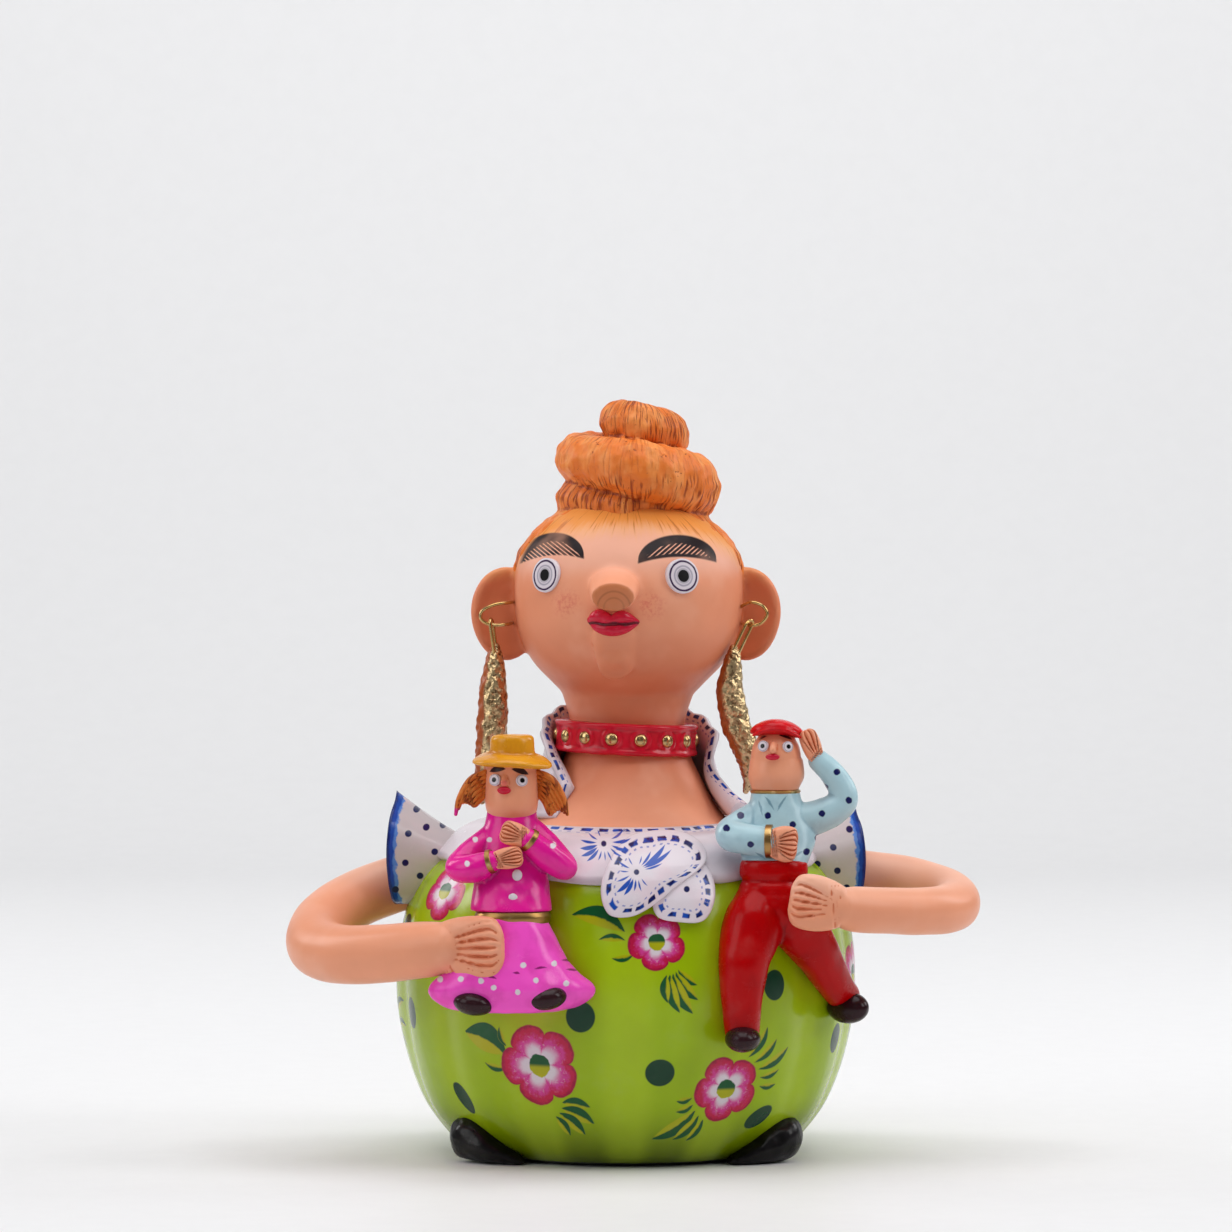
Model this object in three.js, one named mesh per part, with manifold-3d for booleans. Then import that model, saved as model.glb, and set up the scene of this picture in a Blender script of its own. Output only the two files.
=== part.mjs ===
// A painted clay figurine: a woman with coiled hair in a round lobed dress, who holds two
// small figures, a lady in a hat and a man in a cap. Gold wires with clay drops hang in her ears.
// Millimetres, +Z up, front towards -Y, origin at the middle of the flat underside.
import * as THREE from 'three';
import { mergeVertices } from 'three/addons/utils/BufferGeometryUtils.js';
import Module from 'manifold-3d';

const wasm = await Module();
wasm.setup();

// Driving sizes of the dress and the trunk
const DRESS_RADIUS = 79.5;
const LOBE_COUNT = 14;
const LOBE_DEPTH = 1.8;
const STEPS_PER_LOBE = 2;
const DRESS_TOP = 121;

// Driving sizes of the head, which looks a little to its right
const HEAD_X = 0.9;
const FACE_X = -4.2;
const FACE_TURN = -7;
const NOSE_BAR = { sides: 10, steps: 3 };
const EAR_HALF_HEIGHT = 16.3;
const EAR_HALF_WIDTH = 12.5;
const EAR_RIM = 4;
const HAIR_THICKNESS = 1.8;
const HAIRLINE_HEIGHT = 196;
const HAIRLINE_SLOPE = 0.72;

// Driving sizes of the choker
const CHOKER_RADIUS = 25;
const CHOKER_LOW = 137.8;
const CHOKER_HIGH = 148.7;
const CHOKER_TILT = 2.5;
const STUD_COUNT = 15;
const STUD_RADIUS = 2.4;

// Wire of the earrings, and the gap kept between pieces that touch
const WIRE_RADIUS = 0.6;
const WIRE_SIDES = 5;
const WIRE_UP = new THREE.Vector3(0.3, 0.1, 1);
const HOOK_STEPS = 14;
const LINK_HALF_WIDTH = 2.1;
const GAP = 0.3;

const DEGREE = Math.PI / 180;
const UP = new THREE.Vector3(0, 0, 1);
const FRONT = new THREE.Vector3(0, -1, 0);

// Sides and steps of a small figure's arm, leg and lock of hair
const SMALL_ARM = { sides: 6, steps: 4 };
const SMALL_LEG = { sides: 7, steps: 4, up: FRONT };
const HAIR_LOCK = { sides: 5, steps: 4, up: FRONT };

// Shape tools

// Straight lines between a table's rows: each row starts with the key it is looked up by
function lookUp(table, key) {
  const last = table.length - 1;
  const row = table.findIndex((entry) => entry[0] >= key);
  if (row === 0) return table[0].slice(1);
  if (row < 0) return table[last].slice(1);
  const [before, after] = [table[row - 1], table[row]];
  const share = (key - before[0]) / (after[0] - before[0]);
  return before.slice(1).map((value, i) => value + (after[i + 1] - value) * share);
}

// A solid from points and triangles, turned inside out if its volume comes out negative
function solidFrom(points, triangles) {
  let volume = 0;
  for (const [a, b, c] of triangles) {
    volume += points[a].dot(new THREE.Vector3().crossVectors(points[b], points[c]));
  }
  const faces = volume < 0 ? triangles.map(([a, b, c]) => [a, c, b]) : triangles;
  const vertProperties = new Float32Array(points.flatMap((p) => [p.x, p.y, p.z]));
  const triVerts = new Uint32Array(faces.flat());
  return new wasm.Manifold(new wasm.Mesh({ numProp: 3, vertProperties, triVerts }));
}

// A solid from one of the library's closed geometries, after a placing matrix
function solidOf(geometry, place = new THREE.Matrix4()) {
  geometry.deleteAttribute('normal');
  geometry.deleteAttribute('uv');
  const merged = mergeVertices(geometry.applyMatrix4(place), 1e-4);
  const spots = merged.attributes.position;
  const pointAt = (_, i) => new THREE.Vector3().fromBufferAttribute(spots, i);
  const points = Array.from({ length: spots.count }, pointAt);
  const corners = Array.from(merged.index.array);
  const triangles = [];
  for (let i = 0; i < corners.length; i += 3) triangles.push(corners.slice(i, i + 3));
  return solidFrom(points, triangles);
}

// A skin over rings that all have the same number of points, with a fan at both ends
function loft(rings) {
  const sides = rings[0].length;
  const points = rings.flat();
  const triangles = [];
  for (let i = 0; i + 1 < rings.length; i += 1) {
    for (let j = 0; j < sides; j += 1) {
      const a = i * sides + j;
      const b = i * sides + ((j + 1) % sides);
      triangles.push([a, b, b + sides], [a, b + sides, a + sides]);
    }
  }
  const first = 0;
  const last = (rings.length - 1) * sides;
  for (const [start, flip] of [[first, true], [last, false]]) {
    const middle = new THREE.Vector3();
    for (let j = 0; j < sides; j += 1) middle.addScaledVector(points[start + j], 1 / sides);
    const hub = points.push(middle) - 1;
    for (let j = 0; j < sides; j += 1) {
      const a = start + j;
      const b = start + ((j + 1) % sides);
      triangles.push(flip ? [b, a, hub] : [a, b, hub]);
    }
  }
  return solidFrom(points, triangles);
}

// An oval column through rows [x, y, z, half width, half depth]; the wave scales its radius
function column(rows, sides, wave = () => 1) {
  return loft(rows.map(([x, y, z, half, deep]) => Array.from({ length: sides }, (_, j) => {
    const angle = (2 * Math.PI * j) / sides;
    const scale = wave(angle, z);
    return new THREE.Vector3(x + half * scale * Math.cos(angle), y + deep * scale * Math.sin(angle), z);
  })));
}

// A round bar along a smooth curve through stops [x, y, z, half width, half height],
// where the height is measured towards the given up direction
function bar(stops, { sides = 10, steps = 12, up = UP } = {}) {
  const route = new THREE.CatmullRomCurve3(stops.map(([x, y, z]) => new THREE.Vector3(x, y, z)));
  const girth = new THREE.CatmullRomCurve3(stops.map(([, , , w, h = w]) => new THREE.Vector3(w, h, 0)));
  const rings = [];
  for (let i = 0; i <= steps; i += 1) {
    const along = route.getTangent(i / steps);
    const side = new THREE.Vector3().crossVectors(along, up).normalize();
    const lift = new THREE.Vector3().crossVectors(side, along);
    const middle = route.getPoint(i / steps);
    const size = girth.getPoint(i / steps);
    rings.push(Array.from({ length: sides }, (_, j) => {
      const angle = (2 * Math.PI * j) / sides;
      return middle.clone()
        .addScaledVector(side, size.x * Math.cos(angle))
        .addScaledVector(lift, size.y * Math.sin(angle));
    }));
  }
  return loft(rings);
}

// An egg with its three half sizes, turned by degrees about X, Y and Z
function egg(centre, sizes, { turn = [0, 0, 0], across = 8, down = 5 } = {}) {
  const [x, y, z] = turn.map((degrees) => degrees * DEGREE);
  const spin = new THREE.Quaternion().setFromEuler(new THREE.Euler(x, y, z, 'ZYX'));
  const middle = new THREE.Vector3(...centre);
  const place = new THREE.Matrix4().compose(middle, spin, new THREE.Vector3(...sizes));
  const ball = new THREE.SphereGeometry(1, across, down);
  ball.rotateX(Math.PI / 2);
  return solidOf(ball, place);
}

// A flat round disc with its axis along a direction
function disc(centre, radius, depth, axis, sides = 12) {
  const upright = new THREE.Vector3(0, 1, 0);
  const spin = new THREE.Quaternion().setFromUnitVectors(upright, axis.clone().normalize());
  const place = new THREE.Matrix4().compose(centre, spin, new THREE.Vector3(1, 1, 1));
  return solidOf(new THREE.CylinderGeometry(radius, radius, depth, sides), place);
}

// A sheet of clay: a surface given by two shares from 0 to 1, with a thickness put on behind it
function sheet(surface, thickness, across, along, closed = false) {
  const small = 1e-3;
  const columns = closed ? across : across + 1;
  const face = [];
  const back = [];
  for (let i = 0; i < columns; i += 1) {
    for (let j = 0; j <= along; j += 1) {
      const u = i / across;
      const v = j / along;
      const here = surface(u, v);
      const forU = surface(u + small, v).sub(surface(u - small, v));
      const forV = surface(u, Math.min(1, v + small)).sub(surface(u, Math.max(0, v - small)));
      const normal = forU.cross(forV).normalize();
      face.push(here);
      back.push(here.clone().addScaledVector(normal, -thickness));
    }
  }
  const points = [...face, ...back];
  const offset = face.length;
  const triangles = [];
  const quad = (a, b, c, d) => triangles.push([a, b, c], [a, c, d]);
  const at = (i, j) => (i % columns) * (along + 1) + j;
  for (let i = 0; i < across; i += 1) {
    for (let j = 0; j < along; j += 1) {
      quad(at(i, j), at(i + 1, j), at(i + 1, j + 1), at(i, j + 1));
      quad(offset + at(i, j), offset + at(i, j + 1), offset + at(i + 1, j + 1), offset + at(i + 1, j));
    }
    quad(at(i + 1, 0), at(i, 0), offset + at(i, 0), offset + at(i + 1, 0));
    quad(at(i, along), at(i + 1, along), offset + at(i + 1, along), offset + at(i, along));
  }
  if (!closed) {
    for (let j = 0; j < along; j += 1) {
      quad(at(0, j), at(0, j + 1), offset + at(0, j + 1), offset + at(0, j));
      quad(at(across, j + 1), at(across, j), offset + at(across, j), offset + at(across, j + 1));
    }
  }
  return solidFrom(points, triangles);
}

const join = (solids) => wasm.Manifold.union(solids);

// Clay has no bubbles: the skins of hollows shut inside a joined solid are dropped
const withoutBubbles = (solid) => join(solid.decompose().filter((part) => part.volume() > 0));

// A point on a level circle, with its angle measured from the front, positive to +X
const onCircle = (x, y, radius, degrees, z) => new THREE.Vector3(
  x + radius * Math.sin(degrees * DEGREE),
  y - radius * Math.cos(degrees * DEGREE),
  z,
);

// The dress: a lathe shape from the flat underside up, with soft upright lobes

// Height, then radius
const DRESS_PROFILE = [
  [0, 50], [2, 56], [7, 62.2], [18, 70.2], [34, 76.4], [52, DRESS_RADIUS + 0.3],
  [72, 79.2], [88, 75.5], [98, 69.8], [107, 59.5], [115, 45], [DRESS_TOP, 24],
];

const dressRadius = (z) => lookUp(DRESS_PROFILE, z)[0];

function dressWithLobes(z, degrees) {
  const wave = Math.sqrt(Math.abs(Math.sin((degrees * DEGREE * LOBE_COUNT) / 2)));
  const fade = Math.sin(Math.PI * Math.min(1, z / DRESS_TOP));
  return dressRadius(z) - LOBE_DEPTH * fade * (1 - wave);
}

function makeDress() {
  const sides = LOBE_COUNT * STEPS_PER_LOBE;
  return loft(DRESS_PROFILE.map(([z]) => Array.from({ length: sides }, (_, j) => {
    const degrees = (360 * j) / sides;
    return onCircle(0, 0, dressWithLobes(z, degrees), degrees, z);
  })));
}

// Toe of a shoe that looks out from under the dress: high at the outside, thin towards the middle.
// Stops for the left shoe: x, y, z, half depth, half height
const SHOE_STOPS = [
  [57, -30, 8.4, 4.4, 5.8], [54, -36.5, 8.4, 6.8, 7.4], [49, -41, 6.4, 7.4, 6.4],
  [42.5, -44.8, 3.8, 6, 4], [37.5, -46.8, 1.8, 4, 2],
];

function makeShoe(side) {
  const stops = SHOE_STOPS.map(([x, ...rest]) => [side * x, ...rest]);
  return bar(stops, { sides: 9, steps: 6 }).trimByPlane([0, 0, 1], 0);
}

// Chest and neck: height, half width, reach to the front, reach to the back
const TRUNK_RINGS = [
  [100, 52, 54, 48], [112, 38.5, 45, 37], [117, 32.5, 38, 31], [122, 29, 32, 28],
  [129, 25.5, 26.5, 25], [137, 21.8, 22, 22], [147, 19.8, 19.8, 20.2],
  [158, 22.5, 21, 23], [164, 25, 22, 26],
];

// Head: height, half width, reach to the front, reach to the back
const HEAD_RINGS = [
  [157, 21, 19, 21], [163, 27, 26, 28], [168, 32, 30.5, 32], [173.5, 35.6, 33, 34.5],
  [182, 38.5, 36, 37.5], [195, 39.6, 36.6, 39.5], [206, 37.8, 32.6, 38.8],
  [214, 32.6, 25.5, 34.5], [220.5, 25, 18, 28], [226.5, 14, 8, 17],
];

// A level ring whose front half and back half reach a different way
function wideRing(x, [z, half, front, back], sides, extra = () => 0) {
  return Array.from({ length: sides }, (_, j) => {
    const angle = (2 * Math.PI * j) / sides;
    const reach = Math.sin(angle) < 0 ? front : back;
    const more = extra(angle, z, reach);
    return new THREE.Vector3(
      x + (half + more) * Math.cos(angle),
      (reach + more) * Math.sin(angle),
      z,
    );
  });
}

const makeTrunk = () => loft(TRUNK_RINGS.map((ring) => wideRing(0.6, ring, 18)));

// The skull carries a thin layer of hair behind a slanted hairline, low at the nape
function makeHead() {
  const hair = (angle, z, reach) => {
    const aboveLine = z + HAIRLINE_SLOPE * reach * Math.sin(angle) > HAIRLINE_HEIGHT;
    return aboveLine ? HAIR_THICKNESS * (0.5 + 0.5 * Math.sin(angle)) : 0;
  };
  return loft(HEAD_RINGS.map((ring) => wideRing(HEAD_X, ring, 22, hair)));
}

// The face's own place for an x measured from the middle of the face: a point on the skin
function onFace(x, z, lift = 0) {
  const [half, front] = lookUp(HEAD_RINGS, z);
  const away = FACE_X + x - HEAD_X;
  const depth = front * Math.sqrt(Math.max(0, 1 - (away / half) ** 2));
  return new THREE.Vector3(FACE_X + x, -depth - lift, z);
}

function makeEar(side) {
  const centre = [side * 41.4, 5, 186];
  const turn = [0, 0, side * -14];
  const shell = egg(centre, [EAR_HALF_WIDTH, 6, EAR_HALF_HEIGHT], { turn, across: 12, down: 6 });
  const dent = [centre[0] + side * 1.2, centre[1] - 6.6, centre[2]];
  const hollow = egg(dent, [EAR_HALF_WIDTH - EAR_RIM, 5.4, EAR_HALF_HEIGHT - EAR_RIM], { turn });
  return shell.subtract(hollow);
}

// Eyes: raised discs that look forward and a little outwards
function makeEye(x, z, radius, outward) {
  const spot = onFace(x, z);
  const gaze = FRONT.clone().applyAxisAngle(UP, outward * DEGREE).add(new THREE.Vector3(0, 0, 0.12));
  return disc(spot, radius, 5, gaze, 12);
}

// Nose, lips and chin
function makeFace() {
  const turn = [0, 0, FACE_TURN];
  const nose = bar([
    [FACE_X, -30, 194.2, 8.6, 7.8], [FACE_X - 0.2, -38, 193.4, 8.2, 7.4],
    [FACE_X - 0.4, -48.4, 190.8, 6.6, 6.2],
  ], NOSE_BAR);
  const upperLip = [-1, 1].map((side) => egg([FACE_X + side * 3.6, -37.6, 184.6], [4.8, 3.6, 3], {
    turn: [0, side * -14, FACE_TURN],
  }));
  const lowerLip = egg([FACE_X, -37.6, 180.8], [7.2, 3.6, 2.8], { turn });
  const chin = egg([FACE_X + 0.3, -30.6, 171.4], [7.2, 4.4, 6.6], { turn });
  const eyes = [makeEye(-23.5, 199.8, 5.9, -42), makeEye(23.6, 199.6, 6, 27)];
  return [nose, ...upperLip, lowerLip, chin, ...eyes];
}

// The coiled bun on top of the head

// Each stop of the coil: turn in degrees from +X, radius of the turn, height, half width, half height
const BUN_X = 4.6;
const BUN_Y = 3;
const BUN_COIL = [
  [250, 16, 222.5, 6, 6], [180, 20.4, 225.5, 8.4, 8], [90, 20, 226.5, 8, 8], [0, 19, 229.6, 9.2, 11.6],
  [-90, 18.5, 236, 9, 10], [-180, 20.5, 240, 9, 8.8], [-270, 15.5, 243, 8.4, 8], [-360, 9, 248, 8.6, 8.2],
  [-450, 7.5, 250.8, 8, 8.2], [-540, 7, 252.6, 7, 7.6], [-610, 3, 253, 5, 5],
];

function makeBun() {
  const stops = BUN_COIL.map(([degrees, radius, z, w, h]) => [
    BUN_X + radius * Math.cos(degrees * DEGREE),
    BUN_Y + radius * Math.sin(degrees * DEGREE),
    z,
    w,
    h,
  ]);
  const coil = bar(stops, { sides: 7, steps: 21 });
  const core = egg([BUN_X, BUN_Y, 229], [19, 19, 19]);
  const crown = egg([BUN_X + 2, BUN_Y, 249], [9, 9, 8]);
  return [coil, core, crown];
}

// Choker with its round studs
function makeChoker() {
  const middle = (CHOKER_LOW + CHOKER_HIGH) / 2;
  const half = (CHOKER_HIGH - CHOKER_LOW) / 2;
  const band = [[half, -6], [half, -0.5], [half - 1, 0], [1 - half, 0], [-half, -0.5], [-half, -6]];
  const toPoint = ([z, inset]) => new THREE.Vector2(CHOKER_RADIUS + inset, middle + z);
  const profile = [...band, band[0]].map(toPoint);
  const ring = new THREE.LatheGeometry(profile, 20);
  ring.rotateX(Math.PI / 2);
  const tilt = new THREE.Matrix4().makeRotationY(CHOKER_TILT * DEGREE);
  const place = new THREE.Matrix4().makeTranslation(0, 0, middle)
    .multiply(tilt)
    .multiply(new THREE.Matrix4().makeTranslation(0, 0, -middle));
  const studs = Array.from({ length: STUD_COUNT }, (_, i) => {
    const degrees = 12 + (360 * i) / STUD_COUNT;
    const spot = onCircle(0, 0, CHOKER_RADIUS, degrees, middle).applyMatrix4(place);
    const axis = onCircle(0, 0, 1, degrees, 0).applyMatrix4(tilt);
    return disc(spot, STUD_RADIUS, 1.6, axis, 6);
  });
  return [solidOf(ring, place), ...studs];
}

// Blouse: a wide collar laid over the top of the dress, from its hem up to the neckline
function makeBlouse() {
  const hem = (degrees) => {
    const toFront = Math.cos(degrees * DEGREE);
    return 104 - 7.5 * Math.max(0, toFront) + 0.8 * Math.sin(degrees * DEGREE * 9);
  };
  return sheet((u, v) => {
    const degrees = 360 * u;
    const toFront = Math.max(0, Math.cos(degrees * DEGREE));
    const low = hem(degrees);
    const neckline = 41 + 4.5 * toFront + 0.8 * Math.sin(degrees * DEGREE * 7);
    const hemRadius = dressRadius(low) + 1.8;
    const radius = hemRadius + (neckline - hemRadius) * v;
    const swell = 3.4 * Math.sin(Math.PI * Math.min(1, v * 1.15));
    const z = low + (116 - 1.5 * toFront - low) * v ** 0.85 + swell;
    return onCircle(0, 0, radius, degrees, z);
  }, 3.4, 22, 3, true);
}

// Folded ends of the blouse at the front: a round lobe and a pointed one, under a folded band
function makeFlaps() {
  const roundLobe = egg([3.2, -68.3, 95.8], [10, 4, 10], { turn: [-32, 0, 0], across: 12 });
  const pointedLobe = egg([20.5, -66.3, 92.5], [9.2, 3.4, 8.4], { turn: [-28, 20, 16] });
  const band = bar([
    [33, -46, 109, 2, 3.5], [24, -54, 106, 3, 5], [13, -61.5, 103, 3.6, 6], [4, -66, 98.5, 3.6, 6],
    [-2, -69, 93.5, 2.6, 4.5],
  ], { sides: 8, steps: 5, up: new THREE.Vector3(0, -0.3, 1) });
  return [roundLobe, pointedLobe, band];
}

// Standing collar: an open sheet round the sides and the back of the neck, rolled out at its rim.
// Angle from the front, foot radius and height, waist radius and height, rim radius and height
const COLLAR_STOPS = [
  [-302, 48, 113.5, 42, 120, 50, 120.5], [-292, 44, 115, 33, 124, 38, 126],
  [-282, 42, 115.5, 27, 130, 31.5, 134], [-270, 40, 116, 26, 138, 32, 144],
  [-225, 38, 117, 25, 146, 28, 153], [-180, 38, 117, 25, 148, 28, 155.5],
  [-135, 38, 117, 24.5, 146, 28, 154], [-90, 38, 117, 24, 142, 29.5, 147],
  [-58, 37, 117, 24, 136, 31, 135], [-42, 36, 117, 26, 128, 33, 126],
];

function makeCollar() {
  const from = COLLAR_STOPS[0][0];
  const to = COLLAR_STOPS[COLLAR_STOPS.length - 1][0];
  return sheet((u, v) => {
    const angle = from + (to - from) * u;
    const [footR, footZ, waistR, waistZ, rimR, rimZ] = lookUp(COLLAR_STOPS, angle);
    const radius = (1 - v) ** 2 * footR + 2 * v * (1 - v) * waistR + v ** 2 * rimR;
    const z = (1 - v) ** 2 * footZ + 2 * v * (1 - v) * waistZ + v ** 2 * rimZ;
    return onCircle(0, 1, radius, angle, z);
  }, 3, 11, 3);
}

// Bell sleeve: flares from the shoulder to a wavy hem round the arm
function makeSleeve(side, { mouthZ, mouthUp, mouthDown }) {
  return sheet((u, v) => {
    const angle = 2 * Math.PI * u;
    const flare = v ** 1.3;
    const wave = 1 + 0.05 * flare * Math.sin(5 * angle + 1);
    const reachUp = Math.sin(angle) > 0 ? mouthUp : mouthDown;
    const half = (11 + (reachUp - 11) * flare) * wave;
    const deep = (10.5 + 6 * flare) * wave;
    return new THREE.Vector3(
      side * (54 + 27 * v + 1.5 * v * Math.cos(2 * angle)),
      1 - 3 * v + deep * Math.cos(angle),
      97 + (mouthZ - 97) * v + half * Math.sin(angle),
    );
  }, side * 2.4, 14, 2, true);
}

// Arms: round bars that leave the sleeves, turn at the elbow and come in front of the dress
const RIGHT_ARM = [
  [-62, 4, 97, 9.5], [-80, 2, 92, 9.8], [-95, -6, 86.5, 10], [-104.5, -20, 79.5, 10.4],
  [-105, -37, 73.5, 10.4], [-95, -54, 72, 10], [-80, -68, 73.5, 9.8], [-67, -77, 75.5, 9.4],
  [-60, -81, 76.5, 8.5],
];
const LEFT_ARM = [
  [62, 4, 98, 8.5], [80, 2, 95.5, 8.6], [97, -4, 93.5, 8.6], [109, -16, 90.5, 8.8],
  [112.5, -32, 87.5, 8.6], [105, -48, 86.5, 8.2], [91, -61, 87.2, 7.9], [77, -71, 88.5, 7.7],
  [69, -77, 90, 7.4],
];

// A hand: a flat paddle with five fingers side by side, from the wrist to the tips.
// Share of the length, share of the spread, share of the thickness
const HAND_SHAPE = [[0, 0.5, 0.95], [0.3, 0.85, 1.05], [0.7, 1, 1], [0.92, 0.82, 0.7], [1, 0.5, 0.35]];
const FINGERS = 5;
const FINGER_CREASE = 0.22;

function makeHand(wrist, tips, spread, thick) {
  const from = new THREE.Vector3(...wrist);
  const to = new THREE.Vector3(...tips);
  const along = to.clone().sub(from).normalize();
  const out = new THREE.Vector3().crossVectors(along, UP).normalize();
  if (out.y > 0) out.negate();
  const across = new THREE.Vector3().crossVectors(along, out);
  const halfRing = 2 * FINGERS + 1;
  return loft(HAND_SHAPE.map(([share, wide, deep]) => Array.from({ length: 2 * halfRing }, (_, j) => {
    const angle = (Math.PI * (j + 0.5)) / halfRing;
    const crease = j < halfRing && j % 2 === 0 ? FINGER_CREASE * Math.min(1, 3 * share) : 0;
    const lift = Math.sign(Math.sin(angle)) * Math.abs(Math.sin(angle)) ** 0.6 * (1 - crease);
    return from.clone().lerp(to, share)
      .addScaledVector(across, spread * 0.5 * wide * Math.cos(angle))
      .addScaledVector(out, thick * deep * lift);
  })));
}

// The small lady: skirt, belt, coat, crossed arms, head, hair and hat
const LADY_X = -38.5;
const SKIRT_FOLDS = 6;
const SKIRT_TOP = 88;

function makeLady() {
  const fold = (angle, z) => 1 + 0.0016 * (SKIRT_TOP - z) * Math.cos(SKIRT_FOLDS * angle);
  const skirt = column([
    [LADY_X, -77.5, SKIRT_TOP, 10.5, 8.5], [LADY_X, -78, 81, 14.4, 10.8], [LADY_X - 0.4, -79, 72.5, 19, 12.4],
    [LADY_X - 0.6, -79, 64.6, 26.2, 13.8], [LADY_X - 0.6, -79, 60, 26, 13], [LADY_X - 0.6, -79, 55, 16, 10],
  ], 12, fold);
  const belt = egg([LADY_X + 0.6, -76.8, 86.6], [12.8, 10.2, 3.4], { down: 4 });
  const coat = column([
    [LADY_X, -66, 122, 8.2, 7.2], [LADY_X, -68, 112, 10.2, 8], [LADY_X, -71.5, 100, 12.2, 9],
    [LADY_X, -75.5, 88.5, 13.8, 10.5],
  ], 9);
  const rightArm = bar([
    [-45.5, -67.5, 112.5, 4.6], [-52.5, -71, 106.5, 4.8], [-56, -76, 102.6, 4.4], [-50.5, -80, 102.9, 4.9],
    [-45.2, -81.3, 105.2, 3.7],
  ], SMALL_ARM);
  const leftArm = bar([
    [-31.5, -66.5, 114.5, 4.6], [-25.2, -70, 108.3, 4.8], [-20.8, -74.5, 103, 4.5], [-26.6, -78, 107.2, 4.8],
    [-32.4, -79.3, 112, 3.9],
  ], SMALL_ARM);
  const hands = [
    egg([-39.8, -79.5, 107], [4.8, 3.6, 3.6], { turn: [0, 6, 0], across: 7, down: 4 }),
    egg([-35.6, -78.8, 113.8], [5.2, 3.2, 3.8], { turn: [0, 22, 0], across: 7, down: 4 }),
  ];
  const head = column([
    [LADY_X, -66, 118.5, 7.4, 7], [LADY_X, -66, 124, 8.4, 8.2], [LADY_X, -64.3, 137, 8.8, 8.5],
  ], 9);
  const hair = [-1, 1].map((side) => bar([
    [LADY_X + side * 6.5, -65, 134, 4.5, 2.5], [LADY_X + side * 12.5, -67, 130.5, 6, 2.8],
    [LADY_X + side * 16.5, -68, 124.5, 3.8, 2.6], [LADY_X + side * 17.8, -68, 120.3, 1.2, 1.2],
  ], HAIR_LOCK));
  const backHair = egg([LADY_X, -60.5, 128], [9.6, 7, 10], { across: 7, down: 4 });
  const brim = egg([LADY_X + 0.3, -66.5, 138.4], [13.2, 12.6, 2.5], {
    turn: [10, 3, 0],
    across: 11,
    down: 4,
  });
  const crown = column([
    [LADY_X + 0.2, -64.5, 136, 7.6, 7.6], [LADY_X + 0.2, -64.5, 145.4, 7.2, 7.2],
    [LADY_X + 0.2, -64.5, 146.9, 6.2, 6.2],
  ], 9);
  const shoes = [[-50.8, 58.4], [-26.6, 60.2]].map(([x, z]) => egg([x, -87.2, z], [6.8, 6.6, 4.1]));
  return [
    skirt, belt, coat, rightArm, leftArm, ...hands, head, ...hair, backHair, brim, crown, ...shoes,
  ];
}

// The small man: legs that lie on the dress, shirt, arms, head and cap
const MAN_X = 51;

function makeMan() {
  const hips = egg([48.8, -64, 89], [12.6, 9.4, 12.6], { across: 7 });
  const rightLeg = bar([
    [44.5, -63, 96, 9], [42, -67, 85, 10.2], [39.6, -71, 72, 8.9], [38.6, -72.2, 58, 7],
    [38.8, -72, 47.5, 5.9],
  ], SMALL_LEG);
  const leftLeg = bar([
    [53.5, -60.5, 96, 9], [58, -61, 85, 9.6], [63.8, -56.5, 73.6, 8], [70.4, -46.5, 62, 6.2],
    [74, -40, 57, 5.6],
  ], SMALL_LEG);
  const shoes = [
    egg([38.9, -75.5, 45.4], [6, 8.3, 4.5]),
    egg([75.4, -41.8, 53], [5.8, 8.4, 5.4], { turn: [0, -14, 42] }),
  ];
  const waist = column([
    [49.6, -61, 104.4, 11, 8.6], [49.6, -61.2, 99.4, 11.4, 8.8], [49.2, -62.5, 92, 11.4, 8.6],
  ], 9);
  const trunk = column([
    [MAN_X - 0.6, -51.5, 127, 7.4, 6.2], [MAN_X, -52.5, 121.5, 10.2, 6.8], [MAN_X, -56, 112, 13, 8.2],
    [MAN_X - 0.8, -60, 102.4, 11, 8.4],
  ], 9);
  const rightArm = bar([
    [44, -52, 119.6, 4.4], [39, -56, 116, 5.4], [35.6, -60, 112.4, 5.6], [40.4, -64.5, 111, 5.8],
    [47.4, -66.4, 110.6, 5.4],
  ], SMALL_ARM);
  const leftArm = bar([
    [57, -53, 117, 6], [66, -53.8, 119, 5.6], [73.4, -54, 124, 4.9], [70.4, -54, 132, 4.4],
    [65, -54, 137.6, 3.7],
  ], { ...SMALL_ARM, up: FRONT });
  const hands = [
    egg([53, -68.4, 110.2], [5.2, 3.2, 6], { turn: [0, 10, 0], across: 7, down: 4 }),
    egg([62.2, -55, 143], [3.3, 2.7, 6.4], { turn: [0, -22, 0], across: 6, down: 4 }),
  ];
  const neck = column([
    [50.6, -51.5, 124, 7.2, 6.8], [50.8, -51.8, 133, 9, 8.8], [50.8, -51.5, 139, 8.8, 8.8],
  ], 9);
  const head = egg([50.7, -51.5, 139], [8.6, 9, 10], { across: 9 });
  const nose = egg([49, -60.8, 141.2], [1.5, 2.2, 1.8], { across: 6, down: 4 });
  const cap = egg([51.1, -51, 148.4], [8.9, 9.8, 3.8], { turn: [-6, 4, 0] });
  const peak = egg([50.8, -56.6, 147.6], [8, 4.6, 1.3], { turn: [-6, 4, 0], down: 4 });
  return [
    hips, rightLeg, leftLeg, ...shoes, waist, trunk, rightArm, leftArm, ...hands, neck, head, nose, cap, peak,
  ];
}

// Earrings: a bent wire in the ear, a long wire link on it, and a curved clay drop

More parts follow.
